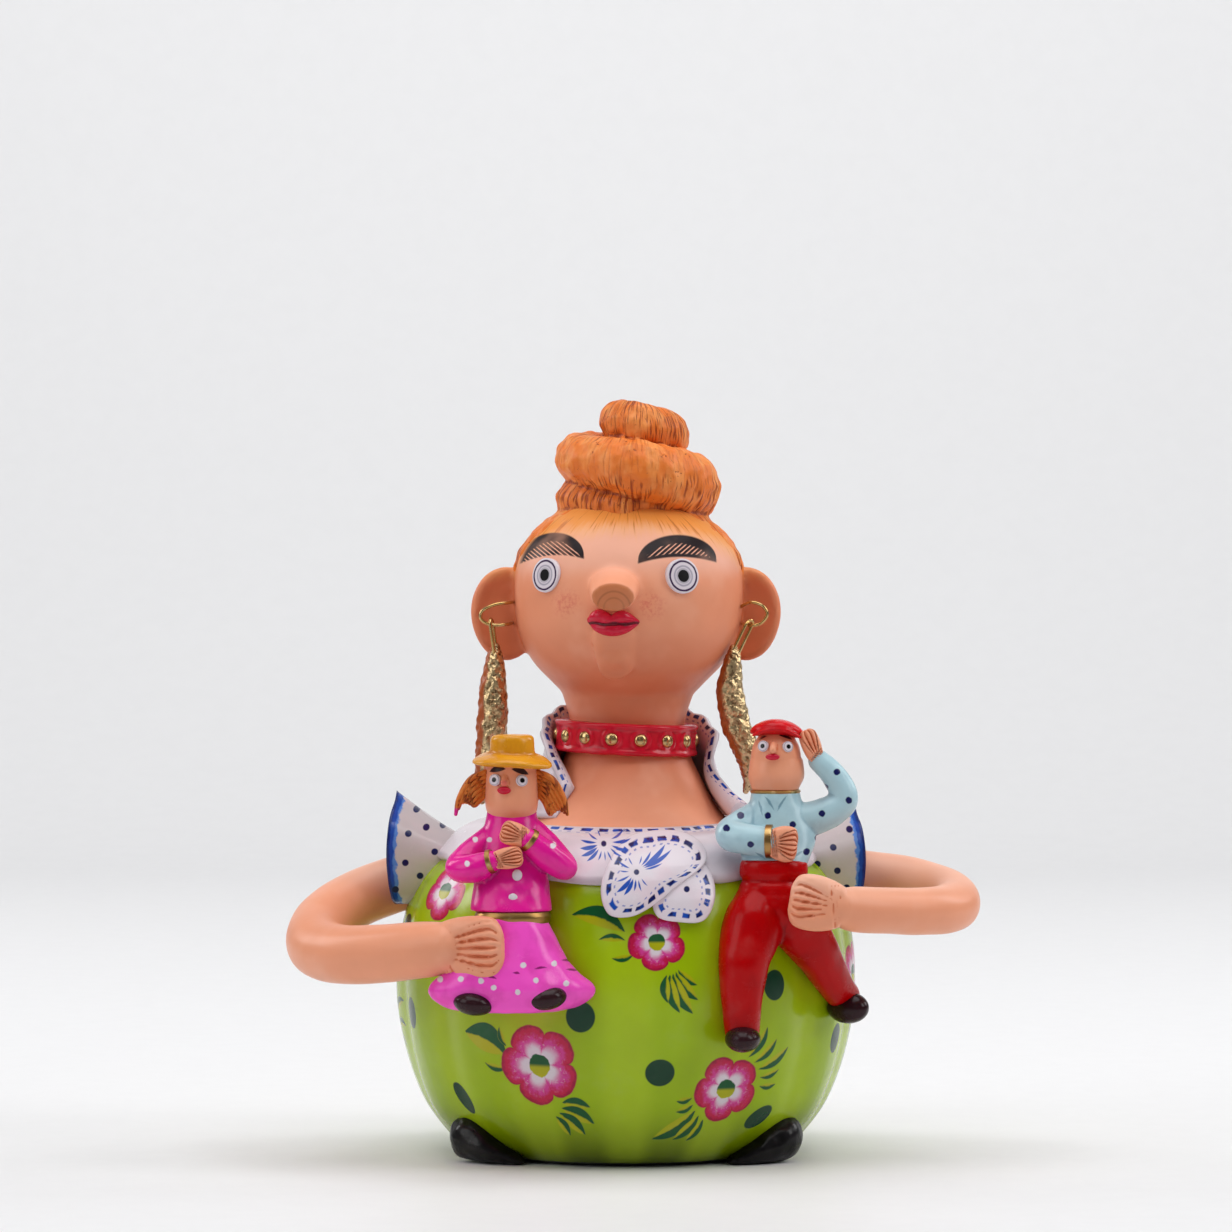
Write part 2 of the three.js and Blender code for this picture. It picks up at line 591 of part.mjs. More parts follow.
const RIGHT_HOOK = [
  [-39, 4, 190], [-40, -4.5, 190], [-45, -7, 189.4], [-49.4, -7.4, 187.4], [-50.2, -7.4, 184.8],
  [-48, -7.2, 182.8], [-44.5, -7, 182.2], [-40.6, -5, 182.6], [-39.4, 4, 182.8],
];
const LEFT_HOOK = [
  [39.6, 4, 188.4], [39.6, -5.5, 188.6], [43, -10, 190.2], [47, -11, 189], [48.6, -11, 186],
  [46.4, -10.8, 183], [43.2, -10, 182.2], [40.4, -6.5, 182.6], [40.4, 4, 182.6],
];

function wire(stops, radius, steps = HOOK_STEPS) {
  return bar(stops.map((spot) => [...spot, radius]), { sides: WIRE_SIDES, steps, up: WIRE_UP });
}

// A long loop of wire round the hook, from its top bend down into the drop
function linkStops(top, bottom, half, aside) {
  const stops = [];
  const bends = 3;
  const down = new THREE.Vector3().subVectors(bottom, top).normalize();
  for (const [hub, start] of [[top, 0], [bottom, Math.PI]]) {
    for (let i = 0; i <= bends; i += 1) {
      const angle = start + (Math.PI * i) / bends;
      stops.push(hub.clone()
        .addScaledVector(aside, half * Math.cos(angle))
        .addScaledVector(down, -half * Math.sin(angle)));
    }
  }
  return stops;
}

function makeLink({ linkTop: top, linkBottom: bottom, aside }, radius) {
  const stops = linkStops(top, bottom, LINK_HALF_WIDTH, aside);
  const sides = WIRE_SIDES;
  const length = new THREE.Vector3().subVectors(bottom, top);
  const plane = new THREE.Vector3().crossVectors(aside, length).normalize();
  const count = stops.length;
  const rings = stops.map((spot, i) => {
    const before = stops[(i + count - 1) % count];
    const after = stops[(i + 1) % count];
    const along = new THREE.Vector3().subVectors(after, before).normalize();
    const side = new THREE.Vector3().crossVectors(along, plane);
    return Array.from({ length: sides }, (_, j) => {
      const angle = (2 * Math.PI * j) / sides;
      return spot.clone()
        .addScaledVector(side, radius * Math.cos(angle))
        .addScaledVector(plane, radius * Math.sin(angle));
    });
  });
  const triangles = [];
  for (let i = 0; i < count; i += 1) {
    for (let j = 0; j < sides; j += 1) {
      const a = i * sides + j;
      const b = i * sides + ((j + 1) % sides);
      const c = ((i + 1) % count) * sides + ((j + 1) % sides);
      const d = ((i + 1) % count) * sides + j;
      triangles.push([a, b, c], [a, c, d]);
    }
  }
  return solidFrom(rings.flat(), triangles);
}

const EARRINGS = [
  {
    side: 'right',
    hook: RIGHT_HOOK,
    linkTop: new THREE.Vector3(-46.4, -7.2, 182.2),
    linkBottom: new THREE.Vector3(-45, -6.6, 172),
    aside: new THREE.Vector3(0.2, 1, 0).normalize(),
    drop: [
      [-45, -6.6, 174.5, 1.6], [-45.3, -6.8, 171, 3.2], [-45.8, -8, 161, 5, 4.6],
      [-46.2, -9, 148, 5.6, 5], [-47, -9, 136, 5.4, 5], [-48.6, -7.5, 127, 4.2], [-49.8, -5, 121.5, 1.4],
    ],
  },
  {
    side: 'left',
    hook: LEFT_HOOK,
    linkTop: new THREE.Vector3(42.2, -9.4, 182.1),
    linkBottom: new THREE.Vector3(37, -11.6, 171.6),
    aside: new THREE.Vector3(0.72, 1, 0).normalize(),
    drop: [
      [37, -11.8, 174.2, 1.6], [36.8, -12, 170.4, 3.2], [35.8, -12.4, 160, 5, 4.4],
      [38, -12.6, 148, 5.2, 4.6], [41.8, -12, 138, 4.6, 4.2], [43, -11, 130.5, 3.4], [41.4, -10, 125.2, 1.2],
    ],
  },
];

// Assembly

const CLAY = { color: 0x9fc034, roughness: 0.25, metalness: 0 };
const GOLD_WIRE = { color: 0xcfae6a, roughness: 0.3, metalness: 1 };
const GILT_CLAY = { color: 0xc79a54, roughness: 0.35, metalness: 0.8 };

const object = new THREE.Group();

function addPiece(name, solid, finish) {
  const { vertProperties, triVerts } = solid.getMesh();
  const geometry = new THREE.BufferGeometry();
  geometry.setAttribute('position', new THREE.BufferAttribute(vertProperties, 3));
  geometry.setIndex(new THREE.BufferAttribute(triVerts, 1));
  const piece = new THREE.Mesh(geometry, new THREE.MeshStandardMaterial(finish));
  piece.name = name;
  object.add(piece);
}

const clayParts = [
  makeDress(),
  makeShoe(-1),
  makeShoe(1),
  makeTrunk(),
  makeHead(),
  makeEar(-1),
  makeEar(1),
  ...makeFace(),
  ...makeBun(),
  ...makeChoker(),
  makeBlouse(),
  ...makeFlaps(),
  makeCollar(),
  makeSleeve(-1, { mouthZ: 103, mouthUp: 21, mouthDown: 19 }),
  makeSleeve(1, { mouthZ: 101, mouthUp: 18, mouthDown: 17 }),
  bar(RIGHT_ARM, { sides: 9, steps: 12 }),
  bar(LEFT_ARM, { sides: 9, steps: 12 }),
  makeHand([-63, -79, 76], [-41, -92, 77.5], 21, 5.2),
  makeHand([72, -75.5, 89.5], [54.5, -77, 92.5], 18.5, 4.8),
  ...makeLady(),
  ...makeMan(),
];

const FINE = 0.02;
const sockets = EARRINGS.map(({ hook }) => wire(hook, WIRE_RADIUS + GAP));
const clay = withoutBubbles(join(clayParts).subtract(join(sockets))).simplify(FINE);
addPiece('figurine', clay, CLAY);

for (const earring of EARRINGS) {
  const { side, hook, drop } = earring;
  addPiece(`ear_loop_${side}`, wire(hook, WIRE_RADIUS), GOLD_WIRE);
  addPiece(`drop_link_${side}`, makeLink(earring, WIRE_RADIUS), GOLD_WIRE);
  const seat = makeLink(earring, WIRE_RADIUS + GAP);
  const pendant = bar(drop, { sides: 8, steps: 9, up: FRONT }).subtract(seat).simplify(FINE);
  addPiece(`earring_drop_${side}`, pendant, GILT_CLAY);
}

export default object;
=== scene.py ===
# The looks of a painted clay figurine: a woman in a round lobed dress who holds a small lady and
# a small man. Shapes are worked out in millimetres and go into the meshes in metres.
import math
from collections import namedtuple

import bmesh
import bpy
import numpy as np
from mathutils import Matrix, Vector


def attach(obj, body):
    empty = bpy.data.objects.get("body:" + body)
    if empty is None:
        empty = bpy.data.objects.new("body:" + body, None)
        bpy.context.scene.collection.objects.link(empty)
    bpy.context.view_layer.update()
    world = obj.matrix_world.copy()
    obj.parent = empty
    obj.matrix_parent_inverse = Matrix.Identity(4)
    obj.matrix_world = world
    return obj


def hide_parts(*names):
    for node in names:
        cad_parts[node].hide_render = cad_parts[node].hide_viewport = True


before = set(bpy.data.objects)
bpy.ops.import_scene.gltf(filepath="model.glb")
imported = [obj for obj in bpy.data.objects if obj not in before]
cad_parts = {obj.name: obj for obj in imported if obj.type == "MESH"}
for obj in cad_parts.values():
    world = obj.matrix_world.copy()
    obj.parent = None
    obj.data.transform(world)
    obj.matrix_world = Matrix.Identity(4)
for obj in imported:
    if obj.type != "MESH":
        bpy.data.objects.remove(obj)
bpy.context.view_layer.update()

MM = 0.001
TURN = 2 * math.pi

# Driving sizes, the same as the solids have
DRESS_PROFILE = [
    (0, 50), (2, 56), (7, 62.2), (18, 70.2), (34, 76.4), (52, 79.6),
    (72, 79.2), (88, 75.5), (98, 69.8), (107, 59.5), (115, 45), (121, 24),
]
LOBE_COUNT = 14
LOBE_DEPTH = 1.7
HEAD_X = 0.9
EAR_X = 41.4
EAR_HALF_WIDTH = 12.5
EAR_HALF_HEIGHT = 16.3
HAIRLINE_HEIGHT = 200
HAIRLINE_SLOPE = 0.72
CHOKER_RADIUS = 25
CHOKER_LOW = 137.8
CHOKER_HIGH = 148.7
STUD_COUNT = 15
STUD_RADIUS = 2.3
CHOKER_TILT = 2.5
WIRE_RADIUS = 0.6
LADY_X = -38.5
MAN_X = 51

# Colours of the paints, as red, green and blue from 0 to 255
GREEN = (156, 186, 0)
# Painted highlight on the dress
GREEN_HIGHLIGHT = (190, 216, 40)
# Painted shade on the dress
GREEN_SHADE = (84, 96, 0)
LEAF_DARK = (14, 84, 42)
LEAF_YELLOW = (176, 176, 12)
DOT_GREEN = (0, 58, 32)
CRIMSON = (196, 24, 72)
PINK = (214, 66, 150)
PETAL_WHITE = (226, 214, 222)
SKIN = (240, 160, 124)
# Painted shade of the skin, partly also a real orange wash
SKIN_DEEP = (214, 110, 66)
SKIN_PALE = (250, 186, 158)
HAIR = (234, 122, 44)
# Painted shade in the hair
HAIR_SHADE = (158, 58, 12)
HAIR_LIGHT = (252, 170, 96)
RED = (214, 18, 46)
GOLD = (196, 162, 112)
TRIM_GOLD = (166, 128, 76)
WHITE = (226, 216, 224)
SLEEVE_WHITE = (208, 200, 202)
BLUE = (26, 78, 178)
NAVY = (18, 22, 84)
BLACK = (9, 7, 9)
SHOE_BROWN = (46, 20, 26)
MAGENTA = (236, 22, 152)
SKIRT_PINK = (255, 84, 206)
HAT = (224, 152, 22)
LADY_HAIR = (218, 118, 44)
SHIRT = (178, 212, 222)
TROUSERS = (182, 0, 4)
CAP = (216, 16, 26)
LIPS = (206, 22, 56)


def tint(colour):
    """Linear light from a colour on the 0 to 255 scale."""
    share = np.array(colour, float) / 255
    linear = np.where(share <= 0.04045, share / 12.92, ((share + 0.055) / 1.055) ** 2.4)
    return (*linear.tolist(), 1.0)


# Shapes

Shell = namedtuple("Shell", "points faces marks")


def rows_through(rows, count):
    """Rows on a smooth line through the given rows: between two rows a cubic blends the four around it."""
    rows = np.asarray(rows, float)
    last = len(rows) - 1
    place = np.linspace(0, last, count)
    start = np.minimum(place.astype(int), last - 1)
    share = (place - start)[:, None]
    a, b, c, d = (rows[np.clip(start + step, 0, last)] for step in (-1, 0, 1, 2))
    return 0.5 * (
        2 * b
        + (c - a) * share
        + (2 * a - 5 * b + 4 * c - d) * share**2
        + (3 * b - a - 3 * c + d) * share**3
    )


def unit(vectors):
    """Each vector divided by its length."""
    return vectors / np.maximum(np.linalg.norm(vectors, axis=-1, keepdims=True), 1e-9)


def grid_faces(rings, sides, closed=True):
    """Four-cornered faces between neighbouring rings of points; a closed ring joins its last point to its first."""
    ring = np.arange(rings - 1)[:, None] * sides
    step = np.arange(sides if closed else sides - 1)[None, :]
    beside = (step + 1) % sides
    corners = [ring + step, ring + beside, ring + sides + beside, ring + sides + step]
    return np.stack(corners, -1).reshape(-1, 4)


def outward(points, faces):
    """The faces in an order that makes the enclosed volume, a sum of corner triple products, positive."""
    corners = points[faces[:, [0, 1, 2]]], points[faces[:, [0, 2, 3]]]
    volume = sum(np.einsum("ij,ij->i", c[:, 0], np.cross(c[:, 1], c[:, 2])).sum() for c in corners)
    return faces if volume > 0 else faces[:, ::-1]


def skin_over(rings, marks=None):
    """A closed shell over rings of points. Both ends shrink to one point, the middle of the end ring."""
    rings = np.asarray(rings, float)
    count, sides = rings.shape[:2]
    ends = [np.repeat(rings[i].mean(0)[None], sides, 0) for i in (0, -1)]
    points = np.concatenate([ends[0][None], rings, ends[1][None]]).reshape(-1, 3)
    faces = outward(points, grid_faces(count + 2, sides))
    kept = {}
    for name, values in (marks or {}).items():
        kept[name] = np.concatenate([values[:1], values, values[-1:]]).reshape(-1)
    return Shell(points, faces, kept)


def sheet_of(face, back, closed, marks):
    """A sheet with a front and a back grid of points: the two grids joined round their free edges."""
    count, sides = face.shape[:2]
    if closed:
        rings = np.concatenate([face, back[::-1], face[:1]])
        edge = {name: np.concatenate([v, v[::-1], v[:1]]) for name, v in marks.items()}
        points = rings.reshape(-1, 3)
        faces = outward(points, grid_faces(len(rings), sides))
        return Shell(points, faces, {name: v.reshape(-1) for name, v in edge.items()})
    loop = np.concatenate([face, back[:, ::-1]], 1)
    edge = {name: np.concatenate([v, v[:, ::-1]], 1) for name, v in marks.items()}
    return skin_over(loop, edge)


def tube(stops, sides=24, steps=60, up=(0, 0, 1), shape=None, ends=(True, True)):
    """A bar along a smooth line through stops of x, y, z, half width and half height. Each ring is an
    oval square to the line; a rounded end adds rings that shrink as the square root of 1 - s * s."""
    stops = np.array([(*stop, stop[3]) if len(stop) == 4 else stop for stop in stops], float)
    rows = rows_through(stops, steps)
    middle, half, high = rows[:, :3], rows[:, 3], rows[:, 4]
    along = unit(np.gradient(middle, axis=0))
    side = unit(np.cross(along, np.array(up, float)))
    lift = np.cross(side, along)
    share = np.linspace(0, 1, steps)
    scale = np.ones(steps)
    bulge = np.sin(np.linspace(0, np.pi / 2, 7)[1:-1])
    if ends[1]:
        middle = np.concatenate([middle, middle[-1] + along[-1] * (bulge * half[-1])[:, None]])
        scale = np.concatenate([scale, np.sqrt(1 - bulge**2)])
        half, high, side, lift, share = (
            np.concatenate([a, np.repeat(a[-1:], 5, 0)]) for a in (half, high, side, lift, share)
        )
    if ends[0]:
        bulge = bulge[::-1]
        middle = np.concatenate([middle[0] - along[0] * (bulge * half[0])[:, None], middle])
        scale = np.concatenate([np.sqrt(1 - bulge**2), scale])
        half, high, side, lift, share = (
            np.concatenate([np.repeat(a[:1], 5, 0), a]) for a in (half, high, side, lift, share)
        )
    angle = np.arange(sides) / sides * TURN
    across = np.cos(angle)[None, :] * (half * scale)[:, None]
    above = np.sin(angle)[None, :] * (high * scale)[:, None]
    if shape is not None:
        factor = shape(share[:, None], angle[None, :])
        across, above = across * factor, above * factor
    rings = middle[:, None] + across[..., None] * side[:, None] + above[..., None] * lift[:, None]
    return skin_over(rings)


def turned(points, turn):
    """Points turned about X, then Y, then Z, by degrees."""
    for axis, degrees in enumerate(turn):
        c, s = math.cos(math.radians(degrees)), math.sin(math.radians(degrees))
        i, j = ((1, 2), (2, 0), (0, 1))[axis]
        first, second = points[..., i] * c - points[..., j] * s, points[..., i] * s + points[..., j] * c
        points = points.copy()
        points[..., i], points[..., j] = first, second
    return points


def ball(centre, sizes, turn=(0, 0, 0), across=40, down=26, shape=None):
    """An egg: a sphere of longitude and latitude rings, scaled, turned and put in its place."""
    around = np.arange(across) / across * TURN
    fall = np.linspace(0, np.pi, down + 2)[1:-1]
    rings = np.stack([
        np.sin(fall)[:, None] * np.cos(around)[None],
        np.sin(fall)[:, None] * np.sin(around)[None],
        np.repeat(np.cos(fall)[:, None], across, 1),
    ], -1)
    if shape is not None:
        rings = shape(rings)
    return skin_over(turned(rings * np.array(sizes, float), turn) + np.array(centre, float))


def column(rows, sides=48, count=40, wave=None):
    """An upright oval column on a smooth line through rows of x, y, z, half width and half depth."""
    rows = rows_through(rows, count)
    angle = np.arange(sides) / sides * TURN
    scale = 1 if wave is None else wave(angle[None], rows[:, 2:3])
    x = rows[:, :1] + rows[:, 3:4] * scale * np.cos(angle)
    y = rows[:, 1:2] + rows[:, 4:5] * scale * np.sin(angle)
    z = np.broadcast_to(rows[:, 2:3], x.shape)
    return skin_over(np.stack([x, y, z], -1))


def ripple(points, size, seed, layers=12):
    """Soft unevenness from -1 to 1: the mean of sine waves in random directions, about size long."""
    rng = np.random.default_rng(seed)
    total = np.zeros(points.shape[:-1])
    for _ in range(layers):
        direction = rng.normal(size=3)
        direction *= TURN / size / np.linalg.norm(direction) * rng.uniform(0.6, 1.5)
        total += np.sin(points @ direction + rng.uniform(0, TURN))
    return total / layers**0.5 / 1.6


def make_mesh(name, shells):
    """One mesh, in metres, of several closed shells; a shell's marks become point attributes."""
    points = np.concatenate([shell.points for shell in shells]) * MM
    offsets = np.cumsum([0] + [len(shell.points) for shell in shells[:-1]])
    faces = np.concatenate([shell.faces + offset for shell, offset in zip(shells, offsets)])
    mesh = bpy.data.meshes.new(name)
    mesh.from_pydata(points.tolist(), [], faces.tolist())
    for mark in sorted({mark for shell in shells for mark in shell.marks}):
        values = [shell.marks.get(mark, np.zeros(len(shell.points))) for shell in shells]
        layer = mesh.attributes.new(mark, "FLOAT", "POINT")
        layer.data.foreach_set("value", np.concatenate(values).astype(np.float32))
    return mesh


def weld(mesh):
    """Merges the points of each pole into one and drops the faces that this leaves with no area."""
    work = bmesh.new()
    work.from_mesh(mesh)
    bmesh.ops.remove_doubles(work, verts=work.verts, dist=1e-7)
    bmesh.ops.dissolve_degenerate(work, dist=1e-7, edges=work.edges)
    work.to_mesh(mesh)
    work.free()


def new_object(name, mesh):
    piece = bpy.data.objects.new(name, mesh)
    bpy.context.scene.collection.objects.link(piece)
    return piece


def finished(piece):
    """Applies the piece's modifiers, in order, to its mesh."""
    depsgraph = bpy.context.evaluated_depsgraph_get()
    mesh = bpy.data.meshes.new_from_object(piece.evaluated_get(depsgraph))
    piece.modifiers.clear()
    piece.data = mesh
    return piece


def smooth_shading(piece):
    piece.data.polygons.foreach_set("use_smooth", np.ones(len(piece.data.polygons), bool))


def mark_hollows(mesh, soften=2):
    """Stores how hollow the skin is at each point, in 1 / mm: the mean, over the edges at the point, of
    2 * (neighbour - point) . normal / length ** 2, averaged with the neighbours' values a few times."""
    count = len(mesh.vertices)
    points, normals = np.empty(count * 3, np.float32), np.empty(count * 3, np.float32)
    ends = np.empty(len(mesh.edges) * 2, np.int32)
    mesh.vertices.foreach_get("co", points)
    mesh.vertex_normals.foreach_get("vector", normals)
    mesh.edges.foreach_get("vertices", ends)
    points, normals, ends = points.reshape(-1, 3) / MM, normals.reshape(-1, 3), ends.reshape(-1, 2)
    here, there = np.concatenate([ends, ends[:, ::-1]]).T
    step = points[there] - points[here]
    length = np.maximum((step**2).sum(1), 1e-4)
    bend = 2 * (step * normals[here]).sum(1) / length
    degree = np.maximum(np.bincount(here, minlength=count), 1)
    hollow = np.bincount(here, bend, count) / degree
    for _ in range(soften):
        hollow = 0.5 * hollow + 0.5 * np.bincount(here, hollow[there], count) / degree
    layer = mesh.attributes.new("hollow", "FLOAT", "POINT")
    layer.data.foreach_set("value", hollow.astype(np.float32))


def plain_piece(name, shells, material):
    """A piece made straight from its shells."""
    piece = new_object(name, make_mesh(name, shells))
    weld(piece.data)
    mark_hollows(piece.data)
    smooth_shading(piece)
    piece.data.materials.append(material)
    return piece


def clay_piece(name, shells, material, grain, soften=3, uneven=0, lump=9, seed=1):
    """Pressed clay: the shells become one skin, its joints are softened, and its points move along
    their normals by a soft ripple."""
    piece = new_object(name, make_mesh(name, shells))
    weld(piece.data)
    skin = piece.modifiers.new("one skin", "REMESH")
    skin.mode = "VOXEL"
    skin.voxel_size = grain * MM
    soft = piece.modifiers.new("soft joints", "SMOOTH")
    soft.factor = 0.5
    soft.iterations = soften
    finished(piece)
    if uneven:
        mesh = piece.data
        points = np.empty(len(mesh.vertices) * 3, np.float32)
        normals = np.empty(len(mesh.vertices) * 3, np.float32)
        mesh.vertices.foreach_get("co", points)
        mesh.vertex_normals.foreach_get("vector", normals)
        points, normals = points.reshape(-1, 3), normals.reshape(-1, 3)
        points += normals * (ripple(points / MM, lump, seed) * uneven * MM)[:, None]
        mesh.vertices.foreach_set("co", points.ravel())
        mesh.update()
    mark_hollows(piece.data)
    smooth_shading(piece)
    piece.data.materials.clear()
    piece.data.materials.append(material)
    return piece


def joined(name, pieces):
    """One object of several, which keeps their materials."""
    with bpy.context.temp_override(
        active_object=pieces[0], object=pieces[0], selected_objects=pieces,
        selected_editable_objects=pieces,
    ):
        bpy.ops.object.join()
    pieces[0].name = name
    pieces[0].data.name = name
    return pieces[0]


# Paints: a small language for the numbers that a material works out at each point


class Signal:
    """A number in a material. Arithmetic on signals adds Math nodes to the material's tree."""

    def __init__(self, tree, socket):
        self.tree = tree
        self.socket = socket

    def _node(self, operation, *values, clamp=False):
        node = self.tree.nodes.new("ShaderNodeMath")
        node.operation = operation
        node.use_clamp = clamp
        for slot, value in zip(node.inputs, values):
            if isinstance(value, Signal):
                self.tree.links.new(value.socket, slot)
            else:
                slot.default_value = value
        return Signal(self.tree, node.outputs[0])

    def __add__(self, other):
        return self._node("ADD", self, other)

    def __sub__(self, other):
        return self._node("SUBTRACT", self, other)

    def __rsub__(self, other):
        return self._node("SUBTRACT", other, self)

    def __mul__(self, other):
        return self._node("MULTIPLY", self, other)

    def __truediv__(self, other):
        return self._node("DIVIDE", self, other)

    __radd__ = __add__
    __rmul__ = __mul__

    def abs(self):
        return self._node("ABSOLUTE", self)

    def sin(self):
        return self._node("SINE", self)

    def cos(self):
        return self._node("COSINE", self)

    def power(self, other):
        return self._node("POWER", self, other)

    def above(self, other):
        return self._node("MAXIMUM", self, other)

    def below(self, other):
        return self._node("MINIMUM", self, other)

    def angle_to(self, other):
        return self._node("ARCTAN2", self, other)

    def part(self):
        return self._node("FRACT", self)

    def root(self):
        return self._node("SQRT", self)

    def clamped(self):
        return self._node("ADD", self, 0.0, clamp=True)

    def inside(self, edge=0.3):
        """1 where the number is positive and 0 where it is negative, with a soft edge this wide."""
        return self._node("MULTIPLY_ADD", self, 1 / edge, 0.5, clamp=True)

    def fade(self, low, high):
        """From 0 at low to 1 at high, eased at both ends."""
        node = self.tree.nodes.new("ShaderNodeMapRange")
        node.interpolation_type = "SMOOTHSTEP"
        self.tree.links.new(self.socket, node.inputs[0])
        node.inputs[1].default_value = low
        node.inputs[2].default_value = high
        return Signal(self.tree, node.outputs[0])


class Paint:
    """A material on its way: its node tree, its colour so far and what its surface is like."""

    def __init__(self, name, colour, roughness=0.25, metallic=0.0, coat=0.0, gloss=0.28):
        self.material = bpy.data.materials.new(name)
        self.material.use_nodes = True
        self.tree = self.material.node_tree
        self.shader = self.tree.nodes["Principled BSDF"]
        self.shader.inputs["Metallic"].default_value = metallic
        self.shader.inputs["Coat Weight"].default_value = coat * 0.35
        self.shader.inputs["Coat Roughness"].default_value = 0.08
        self.shader.inputs["Specular IOR Level"].default_value = gloss
        self.roughness = roughness
        self.colour = self.plain(colour)
        self.height = None
        place = self.tree.nodes.new("ShaderNodeTexCoord").outputs["Object"]
        scale = self.tree.nodes.new("ShaderNodeVectorMath")
        scale.operation = "SCALE"
        self.tree.links.new(place, scale.inputs[0])
        scale.inputs["Scale"].default_value = 1 / MM
        self.place = scale.outputs[0]
        parts = self.tree.nodes.new("ShaderNodeSeparateXYZ")
        self.tree.links.new(self.place, parts.inputs[0])
        self.x, self.y, self.z = (Signal(self.tree, out) for out in parts.outputs)

    def plain(self, colour):
        node = self.tree.nodes.new("ShaderNodeRGB")
        node.outputs[0].default_value = tint(colour)
        return node.outputs[0]

    def blend(self, mask, first, second):
        """A colour between two, first where the mask is 0 and second where it is 1."""
        node = self.tree.nodes.new("ShaderNodeMix")
        node.data_type = "RGBA"
        if isinstance(mask, Signal):
            self.tree.links.new(mask.socket, node.inputs["Factor"])
        else:
            node.inputs["Factor"].default_value = mask
        for slot, colour in ((6, first), (7, second)):
            source = self.plain(colour) if isinstance(colour, tuple) else colour
            self.tree.links.new(source, node.inputs[slot])
        return node.outputs[2]

    def over(self, mask, colour):
        """Lays a colour over what is painted so far."""
        self.colour = self.blend(mask, self.colour, colour)

    def noise(self, size, detail=3.0, roughness=0.55, stretch=None, source=None):
        """Cloudy noise from 0 to 1 whose blots are about size millimetres wide."""
        node = self.tree.nodes.new("ShaderNodeTexNoise")
        node.inputs["Scale"].default_value = 1 / size
        node.inputs["Detail"].default_value = detail
        node.inputs["Roughness"].default_value = roughness
        source = source or self.place
        if stretch:
            scaled = self.tree.nodes.new("ShaderNodeVectorMath")
            scaled.operation = "MULTIPLY"
            self.tree.links.new(self.place, scaled.inputs[0])
            scaled.inputs[1].default_value = stretch
            source = scaled.outputs[0]
        self.tree.links.new(source, node.inputs["Vector"])
        return Signal(self.tree, node.outputs[0])

    def mark(self, name):
        """A number stored on the mesh's points."""
        node = self.tree.nodes.new("ShaderNodeAttribute")
        node.attribute_name = name
        return Signal(self.tree, node.outputs["Fac"])

    def vector(self, x, y, z=0.0):
        node = self.tree.nodes.new("ShaderNodeCombineXYZ")
        for slot, value in zip(node.inputs, (x, y, z)):
            if isinstance(value, Signal):
                self.tree.links.new(value.socket, slot)
            else:
                slot.default_value = value
        return node.outputs[0]

    def dot(self, vector, direction):
        """The share of a vector that lies along a direction."""
        node = self.tree.nodes.new("ShaderNodeVectorMath")
        node.operation = "DOT_PRODUCT"
        self.tree.links.new(vector, node.inputs[0])
        node.inputs[1].default_value = direction
        return Signal(self.tree, node.outputs["Value"])

    def distance(self, vector, point):
        node = self.tree.nodes.new("ShaderNodeVectorMath")
        node.operation = "DISTANCE"
        self.tree.links.new(vector, node.inputs[0])
        node.inputs[1].default_value = point
        return Signal(self.tree, node.outputs["Value"])

    def hollows(self, low=0.02, high=0.35):
        """1 in narrow hollows and 0 on flat or raised places."""
        return self.mark("hollow").fade(low, high)

    def stroke(self, flat, start, end, width, bend=0.0, edge=0.35):
        """A brush stroke between two flat points: how far its middle bows is 4 * bend * s * (1 - s), and
        its width follows the same hump. Gives its cover and the signed distance from its middle."""
        run = np.array(end, float) - np.array(start, float)
        length = float(np.hypot(*run))
        ahead = run / length
        aside = np.array([-ahead[1], ahead[0]])
        s = self.dot(flat, (*(ahead / length), 0)) - float(ahead @ start) / length
        off = self.dot(flat, (*aside, 0)) - float(aside @ start)
        hump = (s * (1 - s)).above(0.0)
        off = off - hump * (4 * bend)
        cover = (hump * (2.6 * width) - off.abs() - edge / 2).inside(edge)
        return cover, off

    def dots(self, flat, points, radius, edge=0.3):
        """Cover of round dots at flat points."""
        nearest = None
        for point in points:
            gap = self.distance(flat, (*point, 0))
            nearest = gap if nearest is None else nearest.below(gap)
        return (radius - nearest).inside(edge)

    def raise_by(self, height):
        """Adds to the height, in millimetres, that the bump is made from."""
        self.height = height if self.height is None else self.height + height

    def done(self, mottle=0.06, brush=0.05, grain=0.02):
        """Ends the material: blotchy thickness of the paint, fine brush marks and pits in the glaze."""
        blotch = self.noise(14, 4)
        dark = self.blend(blotch.fade(0.35, 0.7) * mottle, self.colour, (20, 10, 5))
        light = self.blend(blotch.fade(0.45, 0.2) * (mottle * 0.4), dark, (255, 250, 240))
        self.tree.links.new(light, self.shader.inputs["Base Color"])
        shine = self.noise(7, 4) * 0.16 + self.noise(0.9, 2) * 0.05 + (self.roughness - 0.1)
        self.tree.links.new(shine.clamped().socket, self.shader.inputs["Roughness"])
        self.raise_by(self.noise(3.2, 3) * brush + self.noise(0.7, 2) * grain)
        bump = self.tree.nodes.new("ShaderNodeBump")
        bump.inputs["Strength"].default_value = 1.0
        bump.inputs["Distance"].default_value = MM
        self.tree.links.new(self.height.socket, bump.inputs["Height"])
        self.tree.links.new(bump.outputs[0], self.shader.inputs["Normal"])
        return self.material


